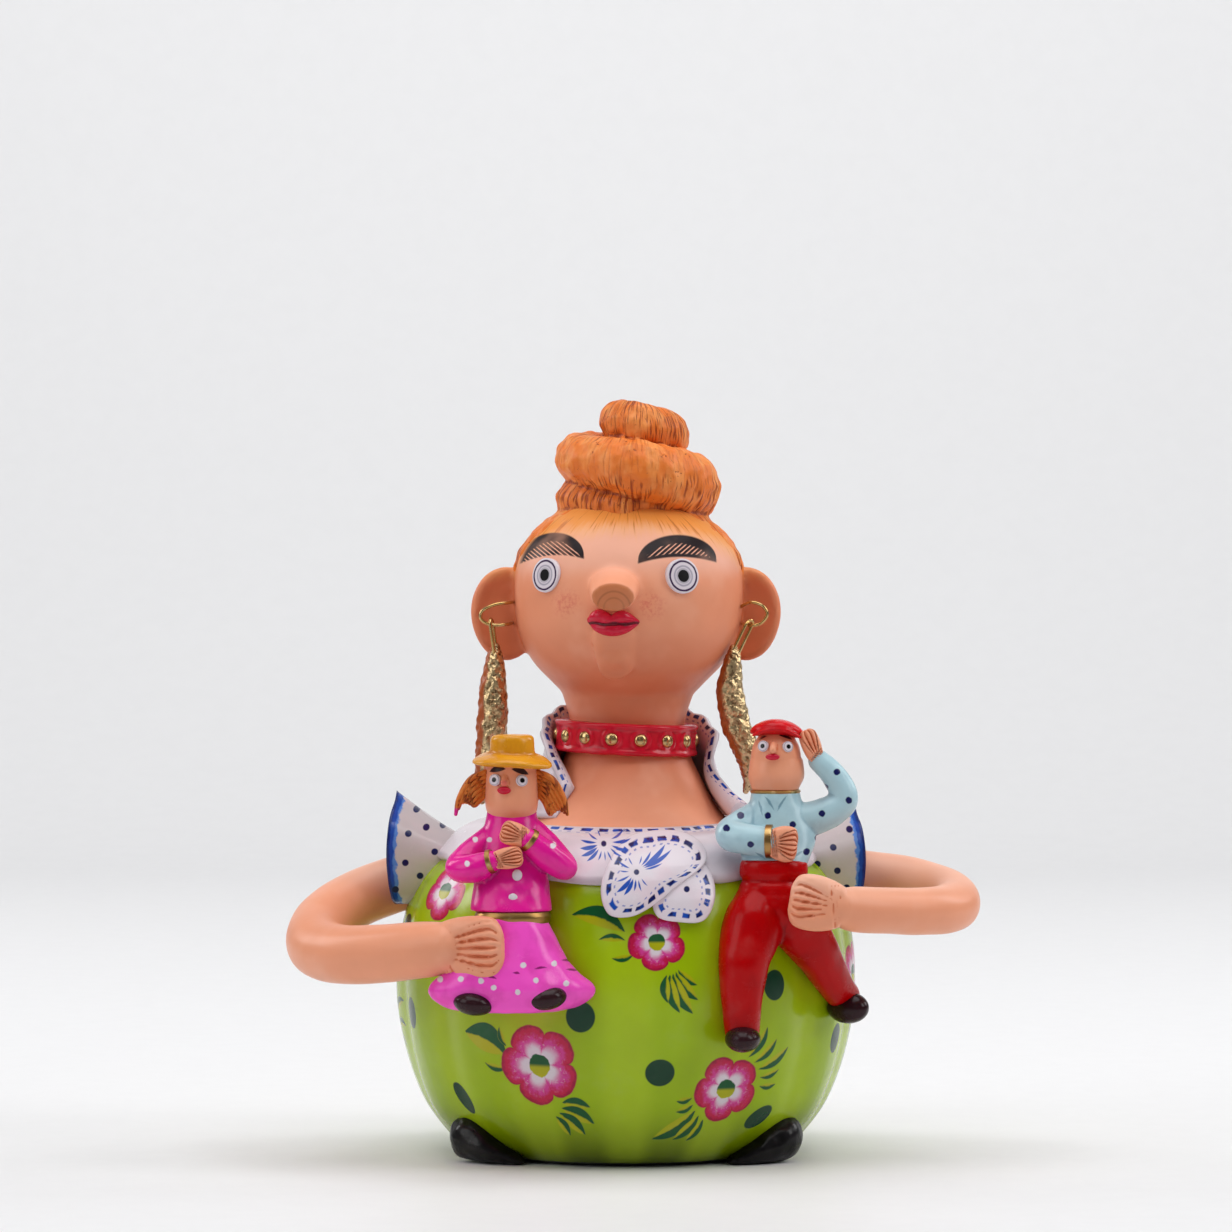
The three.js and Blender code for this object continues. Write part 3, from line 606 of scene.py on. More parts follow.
def paint_dress():
    """Green glaze with painted shade towards the base and under the blouse, a painted highlight in lighter bands along
    the lobe lines, a black foot that is partly a painted contact shadow, and flowers, leaves and dots painted on the
    developed wall.
    """
    paint = Paint("green_dress_glaze", GREEN, roughness=0.2, coat=0.15)
    azimuth = paint.x.angle_to(0 - paint.y) * (180 / math.pi)
    # Painted shade: darker green towards the base and just under the blouse.
    paint.over(paint.z.fade(26, 0) * 0.85, GREEN_SHADE)
    paint.over(paint.z.fade(96, 112) * 0.35, GREEN_SHADE)
    # Painted highlight: lighter green bands along the lobe lines.
    ridge = (azimuth * (LOBE_COUNT / 360)).part()
    side = (ridge - 0.5).abs()
    paint.over(side.fade(0.12, 0.4) * (0.15 + 0.35 * paint.noise(22)), GREEN_HIGHLIGHT)
    profile = rows_through(DRESS_PROFILE, 200)

    def flat_about(degrees, height):
        radius = float(np.interp(height, profile[:, 0], profile[:, 1]))
        ahead = float(np.interp(height + 1, profile[:, 0], profile[:, 1])) - radius
        slope = math.hypot(1, ahead)
        across = (azimuth - degrees) * (radius * math.pi / 180)
        return paint.vector(across, (paint.z - height) * slope)

    for degrees, height, size, turn, sprays in FLOWERS:
        flat = flat_about(degrees, height)
        for spray in sprays:
            gap = size * 1.04 if spray.gap is None else spray.gap
            for i, reach in enumerate(spray.reaches):
                share = i / max(1, len(spray.reaches) - 1)
                heading = math.radians(spray.start + (spray.stop - spray.start) * share)
                ahead = np.array([math.cos(heading), math.sin(heading)])
                root = np.array(spray.root) + ahead * gap
                wide = (0.15 * reach + 0.9) * spray.broad
                cover, off = paint.stroke(flat, root, root + ahead * reach, wide, spray.bend * reach)
                paint.over(cover, LEAF_YELLOW)
                lower = off * (1 if spray.bend > 0 else -1)
                paint.over(cover * (lower + 0.1 * wide + (paint.noise(2) - 0.5)).inside(0.5), LEAF_DARK)
        paint_flower(paint, flat, size, turn)
    for degrees, height, half_width, half_height, tilt in GREEN_DOTS:
        flat = flat_about(degrees, height)
        c, s = math.cos(math.radians(tilt)), math.sin(math.radians(tilt))
        a = paint.dot(flat, (c / half_width, s / half_width, 0))
        b = paint.dot(flat, (-s / half_height, c / half_height, 0))
        gap = 1 - (a * a + b * b).root()
        paint.over(gap.inside(0.08), DOT_GREEN)
    # Black round the foot of the dress: partly black paint on the base, partly a painted contact shadow.
    paint.over((0.9 - paint.z + paint.noise(9) * 0.8).inside(0.4), BLACK)
    return paint.done(mottle=0.05, brush=0.08, grain=0.01)


# A spray of leaves runs from one heading to another; each leaf has its reach, and the spray its bend,
# its breadth, the place its headings start from and the gap from there to the leaves
Spray = namedtuple("Spray", "start stop reaches bend broad root gap", defaults=(1, (0, 0), None))
# Flowers: azimuth from the front, height, radius, turn and sprays
FLOWERS = [
    (-22.7, 36.0, 14.6, 80, [
        Spray(157, 157, [18.6], -0.12, 2.2, (-11.8, 3.4), 0), Spray(168, 168, [9.2], 0.1, 1, (-12.5, -1.7), 0),
        Spray(108, 108, [7.6], 0.1, 1, (-11.6, 6), 0), Spray(-8, -58, [10.8, 13.5, 12.4, 8.7], 0.06, 1.4, (0, -12), 7),
    ]),
    (7.5, 78.0, 10.0, 60, [
        Spray(163, 163, [20], -0.13, 1.4, (0, 0), 11), Spray(178, 178, [9.5], -0.1),
        Spray(189, 189, [7.9], 0.1, 1, (-7.6, -4.3), 0),
        Spray(-40, -88, [9, 13, 16, 14, 10], -0.08, 1.2, (3, -6), 5),
    ]),
    (27.3, 27.6, 12.2, 70, [
        Spray(60, 2, [13, 12, 15, 9, 8], -0.08), Spray(192, 238, [6, 7, 19, 13, 10], 0.08, 1.2),
    ]),
    (-58.0, 92.5, 11.5, 40, []),
    (84.0, 62.0, 11.5, 20, [Spray(160, 200, [13, 15, 11], 0.1), Spray(-30, -80, [12, 15, 12], -0.1)]),
    (-98.0, 44.0, 12.0, 50, [Spray(20, -20, [14, 12, 9], 0.1), Spray(190, 150, [13, 15, 10], -0.1)]),
    (-150.0, 70.0, 12.0, 10, [Spray(200, 160, [14, 16, 11], 0.1), Spray(-20, -70, [12, 15, 12], -0.1)]),
    (150.0, 36.0, 12.0, 90, [Spray(150, 190, [13, 15, 11], 0.1), Spray(30, -20, [12, 14, 9], -0.1)]),
]
# Dots: azimuth, height, half width, half height, tilt
GREEN_DOTS = [
    (-11.2, 53.0, 5.0, 5.3, 0), (8.5, 34.0, 5.0, 4.8, 0), (39.0, 62.3, 4.6, 5.2, 0),
    (-68.7, 50.0, 4.6, 5.4, 0), (-50.8, 22.5, 3.4, 6.4, 30), (40.3, 16.9, 6.0, 3.6, 35),
    (67.3, 41.5, 4.6, 5.2, 0), (-62.1, 109.0, 4.5, 4.5, 0), (108, 40, 4.8, 5.0, 0),
    (118, 84, 4.8, 5.0, 0), (-80, 78, 4.6, 5.0, 0), (-122, 62, 4.8, 5.2, 0),
    (-118, 22, 4.6, 5.0, 0), (170, 60, 5.0, 5.0, 0), (-172, 28, 4.8, 5.0, 0), (128, 18, 4.6, 5.0, 0),
]


def paint_flower(paint, flat, size, turn):
    """Five petals: the rim's radius is size * (0.74 + 0.26 * sqrt |cos 2.5 a|). Crimson at the rim, then
    pink, then white tongues, and a centre that is green above and yellow below."""
    parts = paint.tree.nodes.new("ShaderNodeSeparateXYZ")
    paint.tree.links.new(flat, parts.inputs[0])
    a, b = (Signal(paint.tree, out) for out in parts.outputs[:2])
    heading = b.angle_to(a)
    lobe = (heading * 2.5 + math.radians(turn)).cos().abs().root()
    far = (a * a + b * b).root() / size
    wobble = (paint.noise(2.6, 3) - 0.5) * 0.16
    rim = 0.74 + lobe * 0.26 + (paint.noise(5) - 0.5) * 0.08
    share = far / rim + wobble
    cover = ((rim - far) * size).inside(0.4)
    petal = paint.blend((share + (paint.noise(1.6, 3) - 0.5) * 0.5).fade(0.6, 0.86), PINK, CRIMSON)
    petal = paint.blend((share + (paint.noise(1.2, 2) - 0.5) * 0.2).fade(0.88, 0.98) * 0.6, petal, (128, 6, 52))
    pale = (share - lobe * 0.16).fade(0.5, 0.24)
    petal = paint.blend(pale, petal, PETAL_WHITE)
    streak = paint.noise(1.1, 2).fade(0.56, 0.72) * 0.55
    petal = paint.blend(streak * share.fade(0.9, 0.5), petal, PETAL_WHITE)
    paint.over(cover, petal)
    core = ((0.28 - far + (paint.noise(3) - 0.5) * 0.12) * size).inside(0.3)
    paint.over(core, paint.blend((b / size + 0.02).fade(-0.05, 0.07), LEAF_YELLOW, LEAF_DARK))


def finish_skin(paint, wash=0.55):
    """Darker orange in the hollows of the skin, partly a real orange wash and partly painted shade, and a paler bloom
    here and there.
    """
    paint.over(paint.noise(26, 3).fade(0.5, 0.75) * 0.35, SKIN_PALE)
    # Darker orange in the hollows: partly painted shade, partly a real orange wash.
    paint.over(paint.hollows(0.08, 0.5) * wash, SKIN_DEEP)
    return paint.done(mottle=0.03, brush=0.05, grain=0.008)


def paint_head():
    """Skin with painted shade on the lower face, the neck and the sides of the head, a painted highlight on the
    forehead, painted shade on the end of the nose, brows of slanted strokes, rosy cheeks, and hair colour that fades
    in over the forehead.
    """
    paint = Paint("painted_face", SKIN, roughness=0.4, gloss=0.2)
    flat = paint.vector(paint.x, paint.z)
    front = (-8 - paint.y).inside(4)
    # Darker orange on the lower face and the neck: mostly painted shade, partly a real orange wash.
    low = paint.z.fade(186, 160) * paint.z.fade(118, 140)
    paint.over(low * (0.5 + 0.3 * paint.noise(12)), (206, 104, 62))
    paint.over((paint.z + paint.noise(12) * 4).fade(126, 112) * 0.3, SKIN_PALE)
    # Painted shade: darker at the sides of the head towards the back, round the ears, and at the sides of the face.
    paint.over(paint.x.abs().fade(34, 41) * 0.5 * (0 - paint.y).fade(8, -2), SKIN_DEEP)
    paint.over((paint.x - HEAD_X).abs().fade(16, 38) * paint.z.fade(160, 172) * 0.3, SKIN_DEEP)
    # Painted highlight: paler skin on the forehead.
    paint.over(paint.z.fade(197, 205) * front * 0.35, (238, 196, 180))
    around = (paint.x - HEAD_X).angle_to(0 - paint.y) * 34
    strands = paint.noise(1.2, 3, source=paint.vector(around, 0.0, paint.z * 0.12))
    line = paint.z - paint.y.below(0.0).abs() * 0.56 + (strands - 0.5) * 9
    paint.over(line.fade(195, 205) * 0.6, (246, 176, 110))
    paint.over((line + paint.noise(8) * 3).fade(203, 210) * 0.9, (240, 150, 62))
    paint.over(strands.fade(0.56, 0.66) * line.fade(199, 208) * 0.65, (176, 84, 26))
    for cheek in ((-20.6, 190.4), (8.6, 189.6)):
        gap = paint.distance(flat, (*cheek, 0))
        paint.over(gap.fade(7, 1) * paint.noise(1.2, 3).fade(0.4, 0.7) * 0.4 * front, LIPS)
    for brow in BROWS:
        paint.over(paint_brow(paint, **brow) * front, (24, 8, 14))
    # Painted shade: the end of the nose, which faces forward and down, is painted darker brown.
    tip = np.array((-4.5, -48.3, 192.4))
    ahead = np.array((-0.03, -0.957, -0.289))
    end = (paint.dot(paint.place, tuple(ahead)) + (0.7 - float(tip @ ahead))).inside(0.5)
    end = end * (paint.z - 178).inside(4)
    paint.over(end * 0.75, (196, 112, 62))
    for reach, cover in ((5.6, 0.3), (3.4, 0.25)):
        arc = (paint.distance(flat, (-4.2, 189.0, 0)) - reach).abs()
        paint.over((0.3 - arc).inside(0.4) * end * cover, (110, 50, 26))
    return finish_skin(paint)


# Each brow: the x of its outer and inner end, heights of its ends, its rise in the middle, the slant
# of its strokes, and how high the dark rim along its lower arc is
BROWS = [
    {"outer": -36.8, "inner": -14.4, "outer_z": 204.2, "inner_z": 206.2, "rise": 8.2, "lean": 1.3, "rim": -0.5},
    {"outer": 31.0, "inner": 4.0, "outer_z": 204.9, "inner_z": 204.6, "rise": 8.0, "lean": -1.2, "rim": 0.9},
]


def paint_brow(paint, outer, inner, outer_z, inner_z, rise, lean, rim):
    """A brow between an upper and a lower arc, 1 - s * s high: solid along the upper arc, slanted
    strokes from there down to the lower one, and a rim that may run along the lower one."""
    middle, half = (outer + inner) / 2, abs(outer - inner) / 2
    s = (paint.x - middle) / half
    tilt = (inner_z - outer_z) / (inner - outer)
    base = (paint.x - outer) * tilt + outer_z
    hump = (1 - s * s).above(0.0)
    upper = base + hump.root() * (rise + 0.6) + 0.2
    lower = base - 0.8 + hump * (rise * 0.26)
    within = (upper - paint.z).below(paint.z - lower).inside(0.5) * (1.0 - s.abs()).inside(0.04)
    band = (paint.z - upper + 2.4 + s * s * 1.6 + paint.noise(2) * 1.2).inside(0.6)
    strokes = (((paint.x + paint.z * lean) / 1.9).part() - 0.5).abs()
    strokes = (0.36 - strokes + (paint.noise(1.5) - 0.5) * 0.24).inside(0.16)
    foot = (lower + rim + paint.noise(2) * 0.6 - paint.z).inside(0.4)
    return within * band.above(strokes).above(foot)


def paint_skin(name):
    """Satin skin of the arms and hands, with a painted highlight along their upper side."""
    paint = Paint(name, SKIN, roughness=0.36, coat=0.12)
    # Painted highlight: paler skin along the top of the arms.
    paint.over(paint.z.fade(89, 99) * 0.5, (255, 206, 182))
    return finish_skin(paint, wash=0.8)


def paint_hair(name, base, deep, light, centre=(0, 0), smooth_part=None, tips=()):
    """Carved hair: upright cuts all round a middle, with painted shade in the cuts and the hollows, lighter in long
    streaks, with worn pits darkened inside as painted shade, and fewer cuts between two heights. Tips touched by
    another colour are given as places."""
    paint = Paint(name, base, roughness=0.45)
    plain_band = None
    if smooth_part:
        low, high = smooth_part
        plain_band = paint.z.fade(low - 2, low + 2) * paint.z.fade(high + 2, high - 2)
    around = (paint.x - centre[0]).angle_to(centre[1] - paint.y) * 20
    combed = paint.vector(around, 0.0, paint.z * 0.1)
    wide = paint.noise(5, 4, stretch=(1, 1, 0.4))
    paint.over(wide.fade(0.42, 0.66) * 0.55, light)
    cut = paint.noise(0.85, 2, source=combed).fade(0.51, 0.64) * paint.noise(13).fade(0.3, 0.48)
    cut = cut * (1 - plain_band * 0.7) if plain_band else cut
    # Painted shade in the carved cuts.
    paint.over(cut * 0.9, deep)
    # Painted shade in the hollows, deepest in the narrowest.
    paint.over(paint.hollows(0.05, 0.5) * 0.8, deep)
    paint.over(paint.hollows(0.4, 1.2) * 0.5, (110, 38, 8))
    # Painted shade inside the pits.
    pits = paint.noise(1.5, 2).fade(0.64, 0.7) * paint.noise(8).fade(0.5, 0.6)
    paint.over(pits * 0.7, deep)
    paint.raise_by(pits * -0.35 - cut * 0.35)
    for tip, reach, colour in tips:
        paint.over(paint.distance(paint.place, tip).fade(reach, reach - 1.2), colour)
    return paint.done(mottle=0.05, brush=0.3, grain=0.06)


def paint_plain(name, colour, deep, roughness=0.25, coat=0.3, wash=0.5, brush=0.06, gloss=0.28):
    """One glaze, with painted shade in its hollows and blotchy where the paint pooled."""
    paint = Paint(name, colour, roughness=roughness, coat=coat, gloss=gloss)
    paint.over(paint.noise(8, 3).fade(0.45, 0.75) * 0.35, deep)
    # Painted shade in the hollows, as strong as wash asks.
    paint.over(paint.hollows() * wash, deep)
    return paint.done(mottle=0.05, brush=brush)


def paint_gold(name, colour, roughness):
    """Gold paint or wire, with painted shade in its hollows."""
    paint = Paint(name, colour, roughness=roughness, metallic=1.0)
    # Painted shade in the hollows.
    paint.over(paint.hollows() * 0.8, (92, 52, 24))
    paint.over(paint.noise(4, 3).fade(0.5, 0.7) * 0.5, (226, 204, 150))
    return paint.done(mottle=0.04, brush=0.04)


def paint_earring():
    """Beaten gold with painted shade in its hollows and a strip of bare orange-brown clay paint down one side."""
    paint = Paint("gilded_drop", (214, 186, 140), roughness=0.3)
    bare = (paint.mark("around") + (paint.noise(5) - 0.5) * 0.25).fade(0.66, 0.74)
    paint.over(paint.noise(1.7, 2).fade(0.56, 0.62) * 0.6, (104, 62, 30))
    # Painted shade in the hollows.
    paint.over(paint.hollows(0.02, 0.4) * 0.8, (70, 36, 14))
    paint.over(bare, (168, 84, 38))
    metal = (1 - bare).clamped()
    paint.tree.links.new(metal.socket, paint.shader.inputs["Metallic"])
    paint.raise_by(paint.noise(1.9, 2) * 0.7 * metal)
    return paint.done(mottle=0.05, brush=0.1)


def paint_white(name, base, dots=(), dot_radius=1.0, hem=0.0, dashes=True, stars=()):
    """White glaze with painted shade in its hollows and blue work: dashes along the rim, dots, starbursts or a solid
    blue hem.
    """
    paint = Paint(name, base, roughness=0.24, coat=0.35)
    flat = paint.vector(paint.x, paint.z)
    rim, run = paint.mark("rim"), paint.mark("run")
    paint.over(paint.noise(16, 3).fade(0.5, 0.8) * 0.4, (236, 196, 208))
    # Painted shade in the hollows.
    paint.over(paint.hollows() * 0.5, (150, 140, 160))
    if dashes:
        wander = (paint.noise(7) - 0.5) * 1.4
        band = (0.85 - (rim - 1.6 + wander).abs()).inside(0.4)
        length = 0.3 + (paint.noise(6) - 0.5) * 0.3
        dash = (length - ((run / 5.2 + paint.noise(11) * 1.4).part() - 0.5).abs()).inside(0.06)
        marked = paint.mark("edged").inside(0.2)
        paint.over(band * dash * marked, paint.blend(paint.noise(4).fade(0.4, 0.6), NAVY, BLUE))
        thin = (0.28 - (rim - 3.6 + wander).abs()).inside(0.3)
        dash = (0.2 - ((run / 3.1 + 0.3).part() - 0.5).abs()).inside(0.08)
        paint.over(thin * dash * marked * 0.7, BLUE)
    if hem:
        fringe = (hem + paint.noise(3.2, 3) * 3.4 - rim).inside(0.5)
        paint.over(fringe, (88, 140, 220))
        paint.over((hem * 0.8 + paint.noise(4, 3) * 2.4 - rim).inside(0.6), BLUE)
        paint.over((hem * 0.1 + paint.noise(3, 3, stretch=(0.4, 1, 1)) * 1.6 - rim).inside(0.8) * 0.8, NAVY)
    if dots:
        paint.over(paint.dots(flat, dots, dot_radius, edge=0.25), NAVY)
    front = (-20 - paint.y).inside(2)
    for middle, strokes in stars:
        for heading, start, end, width, bend in strokes:
            ahead = np.array([math.cos(math.radians(heading)), math.sin(math.radians(heading))])
            near, far = np.array(middle) + ahead * start, np.array(middle) + ahead * end
            cover, _ = paint.stroke(flat, near, far, width, bend, edge=0.2)
            paint.over(cover * front, BLUE)
        paint.over((0.9 - paint.distance(flat, (*middle, 0))).inside(0.3) * front, NAVY)
    return paint.done(mottle=0.03, brush=0.08)


def paint_eye(name, white=WHITE):
    """Rings round the middle of an eye: black pupil, grey, white, a thin dark violet ring, white edge."""
    paint = Paint(name, white, roughness=0.3)
    ring = paint.mark("ring") + (paint.noise(1.5) - 0.5) * 0.05
    paint.over((0.055 - (ring - 0.84).abs()).inside(0.03), (58, 30, 72))
    paint.over((0.05 - (ring - 0.56).abs()).inside(0.05) * 0.6, (120, 116, 140))
    paint.over((0.46 - ring).inside(0.06) * 0.5, (140, 138, 152))
    paint.over((0.35 - ring).inside(0.03), BLACK)
    return paint.done(mottle=0.02, brush=0.02)


def paint_small_eye(name):
    """A small painted eye: white, a grey rim, a black pupil a little off the middle."""
    paint = Paint(name, WHITE, roughness=0.2, coat=0.5)
    ring = paint.mark("ring")
    paint.over((0.05 - (ring - 0.86).abs()).inside(0.08) * 0.7, (110, 104, 124))
    paint.over((0.42 - ring).inside(0.08), BLACK)
    return paint.done(mottle=0.02, brush=0.02)


def paint_lips():
    paint = Paint("crimson_lips", LIPS, roughness=0.22, coat=0.2)
    split = (paint.z - 183.4 + (paint.x * 0.9 + 2).sin() * 0.35).abs()
    paint.over((0.45 - split).inside(0.5) * 0.9, (70, 4, 18))
    paint.over(paint.noise(2.4, 3).fade(0.55, 0.75) * 0.3, (232, 80, 110))
    # Painted shade in the hollows.
    paint.over(paint.hollows() * 0.9, (96, 6, 26))
    return paint.done(mottle=0.04, brush=0.08)


def paint_small_face(name, brows, width, nose=None):
    """Skin of a small figure, with dark brows and a reddened nose."""
    paint = Paint(name, SKIN, roughness=0.32, coat=0.2)
    flat = paint.vector(paint.x, paint.z)
    front = (-55 - paint.y).inside(2)
    for start, end, bend in brows:
        cover, _ = paint.stroke(flat, start, end, width, bend, edge=0.2)
        paint.over(cover * front, (50, 22, 24))
    if nose:
        gap = paint.distance(flat, (*nose, 0))
        paint.over(gap.fade(1.8, 0.6) * 0.6 * front, LIPS)
    return finish_skin(paint, wash=0.9)


def paint_dotted(name, colour, deep, dots, radius, dot_colour, strokes=(), stroke_colour=BLACK):
    """A glaze with painted shade in its hollows, round dots on it, a little uneven, and thin strokes from one x and z
    to another.
    """
    paint = Paint(name, colour, roughness=0.24, coat=0.4)
    paint.over(paint.noise(9, 3).fade(0.45, 0.75) * 0.4, deep)
    # Painted shade in the hollows.
    paint.over(paint.hollows() * 0.5, deep)
    flat = paint.vector(paint.x + (paint.noise(2) - 0.5) * 0.8, paint.z + (paint.noise(2.4) - 0.5) * 0.8)
    paint.over(paint.dots(flat, dots, radius, edge=0.3), dot_colour)
    for x, z, end_x, end_z, bend in strokes:
        cover, _ = paint.stroke(flat, (x, z), (end_x, end_z), 0.8, bend, edge=0.3)
        paint.over(cover * 0.9, stroke_colour)
    return paint.done(mottle=0.05, brush=0.07)


# The dress and its shoes


def dress_piece():
    """A lathe shape whose radius is drawn in between lobes, a degrees away from the groove, by
    0.4 * exp(-(a / 3.4) ** 2) + 0.75 * exp(-(a / 9) ** 2)."""
    rows = rows_through([*DRESS_PROFILE[:-3], (105.5, 59.5), (110, 47), (111, 24)], 112)
    angle = np.linspace(0, TURN, 337)[:-1]
    height, radius = rows[:, :1], rows[:, 1:2]
    lobe = (np.degrees(angle) * LOBE_COUNT / 360 + 0.5) % 1 - 0.5
    away = np.abs(lobe) * 360 / LOBE_COUNT
    groove = 0.4 * np.exp(-((away / 3.4) ** 2)) + 0.75 * np.exp(-((away / 9) ** 2))
    fade = np.sin(np.pi * np.clip(height / 121, 0, 1)) ** 0.8
    radius = radius - LOBE_DEPTH * fade * groove
    points = np.stack([
        radius * np.sin(angle), -radius * np.cos(angle), np.broadcast_to(height, radius.shape)
    ], -1)
    even = ripple(points, 30, 3)[..., None] * np.clip(height / 12, 0, 1)[..., None]
    points[..., :2] *= 1 + even * 0.003 - 0.003
    return plain_piece("dress", [skin_over(points)], paint_dress())


SHOE_STOPS = [
    (56, -33, 8.8, 5.2, 6.6), (53, -37.5, 8.2, 7.2, 7.6), (48, -41, 6, 7.4, 6.2), (42, -44.5, 3.6, 6, 3.8),
    (38, -46.5, 2, 4, 2.2),
]


def shoes_piece():
    shells = []
    for side in (-1, 1):
        stops = [(side * x, *rest) for x, *rest in SHOE_STOPS]
        shell = tube(stops, sides=40, steps=60, ends=(False, True))
        shell.points[:, 2] = np.maximum(shell.points[:, 2], 0.05)
        shells.append(shell)
    black = paint_plain("black_shoe_glaze", BLACK, (40, 34, 40), roughness=0.3, wash=0.2, brush=0.3, gloss=0.18)
    return clay_piece("shoe_toes", shells, black, grain=0.7, soften=4, uneven=0.25, lump=7)


# Head, neck and arms

TRUNK_RINGS = [
    (100, 52, 54, 48), (112, 38.5, 45, 37), (117, 32.5, 38, 31), (122, 29, 32, 28), (129, 25.5, 26.5, 25),
    (137, 21.8, 22, 22), (147, 19.8, 19.8, 20.2), (158, 22.5, 21, 23), (164, 25, 22, 26),
]
HEAD_RINGS = [
    (157, 21, 19, 21), (163, 27, 26, 28), (168, 32, 30.5, 32), (173.5, 35.6, 33, 34.5), (182, 38.5, 36, 37.5),
    (195, 39.6, 36.6, 39.5), (206, 37.8, 32.6, 38.8), (214, 32.6, 25.5, 34.5), (220.5, 25, 18, 28),
    (226.5, 14, 8, 17),
]


def wide_rings(x, rows, sides, count, extra=None):
    """Level rings whose front half and back half reach a different way."""
    rows = rows_through(rows, count)
    angle = np.arange(sides) / sides * TURN
    height, half = rows[:, :1], rows[:, 1:2]
    reach = np.where(np.sin(angle) < 0, rows[:, 2:3], rows[:, 3:4])
    more = 0 if extra is None else extra(angle, height, reach)
    return np.stack([
        x + (half + more) * np.cos(angle), (reach + more) * np.sin(angle), np.broadcast_to(height, reach.shape)
    ], -1)


def on_face(x, z, lift=0.0):
    """The place on the skin in front for an x and a height: depth is reach * sqrt(1 - (x / half) ** 2)."""
    rows = rows_through(HEAD_RINGS, 200)
    half = np.interp(z, rows[:, 0], rows[:, 1])
    front = np.interp(z, rows[:, 0], rows[:, 2])
    depth = front * math.sqrt(max(0, 1 - ((x - HEAD_X) / half) ** 2))
    return np.array([x, -depth - lift, z])


def ear_shell(side):
    """A cup: an oval lathe shape whose profile dips in front, rises to a round rim and closes behind."""
    profile = rows_through([
        (0.04, -0.5), (0.35, -0.5), (0.62, 0.1), (0.8, 1.2), (0.91, 1.8), (0.98, 1.2), (1.0, -0.4),
        (0.95, -2.8), (0.8, -4.8), (0.5, -6), (0.04, -6.4),
    ], 60)
    angle = np.arange(72) / 72 * TURN
    share, depth = profile[:, :1], profile[:, 1:2]
    wide = EAR_HALF_WIDTH * (1 + 0.05 * np.sin(angle))
    rings = np.stack([
        share * wide * np.cos(angle),
        -np.broadcast_to(depth, (60, 72)) * 1.0,
        share * EAR_HALF_HEIGHT * np.sin(angle),
    ], -1)
    return skin_over(turned(rings, (0, 0, side * -14)) + np.array([side * EAR_X, 2.5, 186]))


def head_piece():
    """Trunk, skull, ears, nose, eye beds and chin in one soft skin."""
    trunk = skin_over(wide_rings(0.6, TRUNK_RINGS, 96, 70))
    skull = skin_over(wide_rings(HEAD_X, HEAD_RINGS, 120, 90))
    nose = tube([
        (-4, -30, 196.2, 8.8, 6.8), (-4.2, -38, 195.4, 8.6, 6.4), (-4.5, -48.3, 192.4, 7.4, 5.0),
    ], sides=48, steps=50, ends=(False, False))
    muzzle = tube([
        (-4.3, *on_face(-4.3, 179, 0.2)[1:], 7.2, 2.2), (-4.1, *on_face(-4.1, 174, 0.2)[1:], 7.0, 2.2),
        (-3.8, *on_face(-3.8, 170, 1.1)[1:], 6.4, 2.2),
    ], sides=40, steps=40, up=(0, -1, 0))
    chin = ball((-3.8, *on_face(-3.8, 171.2, 1.3)[1:]), (5.4, 3.6, 3.4))
    beds = [eye_bed(*eye) for eye in EYES]
    shells = [trunk, skull, nose, muzzle, chin, *beds, ear_shell(-1), ear_shell(1)]
    return clay_piece("head_and_neck", shells, paint_head(), grain=1.0, soften=3, uneven=0.14, lump=24)


# Eyes: x, height, radius and the way they look, in degrees from the front
EYES = [(-27.7, 199.8, 5.9, -42), (19.4, 199.6, 6.0, 27)]


def facing(points, degrees, rise=7):
    """Points laid out in x and z, facing the front, turned to look up a little and aside."""
    return turned(points, (-rise, 0, degrees))


def eye_bed(x, z, radius, look):
    """The low round of clay that an eye lies on."""
    return skin_over(disc_rings(on_face(x, z, -1.6), radius + 1.2, 2.6, look))


def disc_rings(centre, radius, depth, look, dome=0.0):
    """Rings of a coin with a rounded edge, from the middle of its front to the middle of its back."""
    profile = [(0.05, -dome), (0.4, -dome * 0.8), (0.75, -dome * 0.35), (0.93, 0), (1.0, 0.35), (1.0, 1.0)]
    share = np.array([row[0] for row in profile])[:, None]
    depth_at = np.array([row[1] for row in profile])[:, None] * depth
    angle = np.arange(64) / 64 * TURN
    rings = np.stack([
        share * radius * np.cos(angle), np.broadcast_to(depth_at, (6, 64)), share * radius * np.sin(angle)
    ], -1)
    return facing(rings, look) + np.asarray(centre, float)


def eye_shell(centre, radius, look, thick=1.6, dome=0.35):
    rows = 22
    share = np.linspace(0.02, 1, rows)[:, None]
    angle = np.arange(64) / 64 * TURN
    front = -dome * np.sqrt(1 - share**2 * 0.98)
    rings = np.stack([
        share * radius * np.cos(angle), np.broadcast_to(front, (rows, 64)), share * radius * np.sin(angle)
    ], -1)
    rim = rings[-1:] + np.array([0, thick, 0])
    rings = facing(np.concatenate([rings, rim]), look) + np.asarray(centre, float)
    marks = np.concatenate([np.repeat(share, 64, 1), np.ones((1, 64))])
    return skin_over(rings, {"ring": marks})


def eyes_piece():
    shells = [eye_shell(on_face(x, z, 1.3), radius, look, thick=2.2) for x, z, radius, look in EYES]
    return plain_piece("eyes", shells, paint_eye("ringed_eye"))


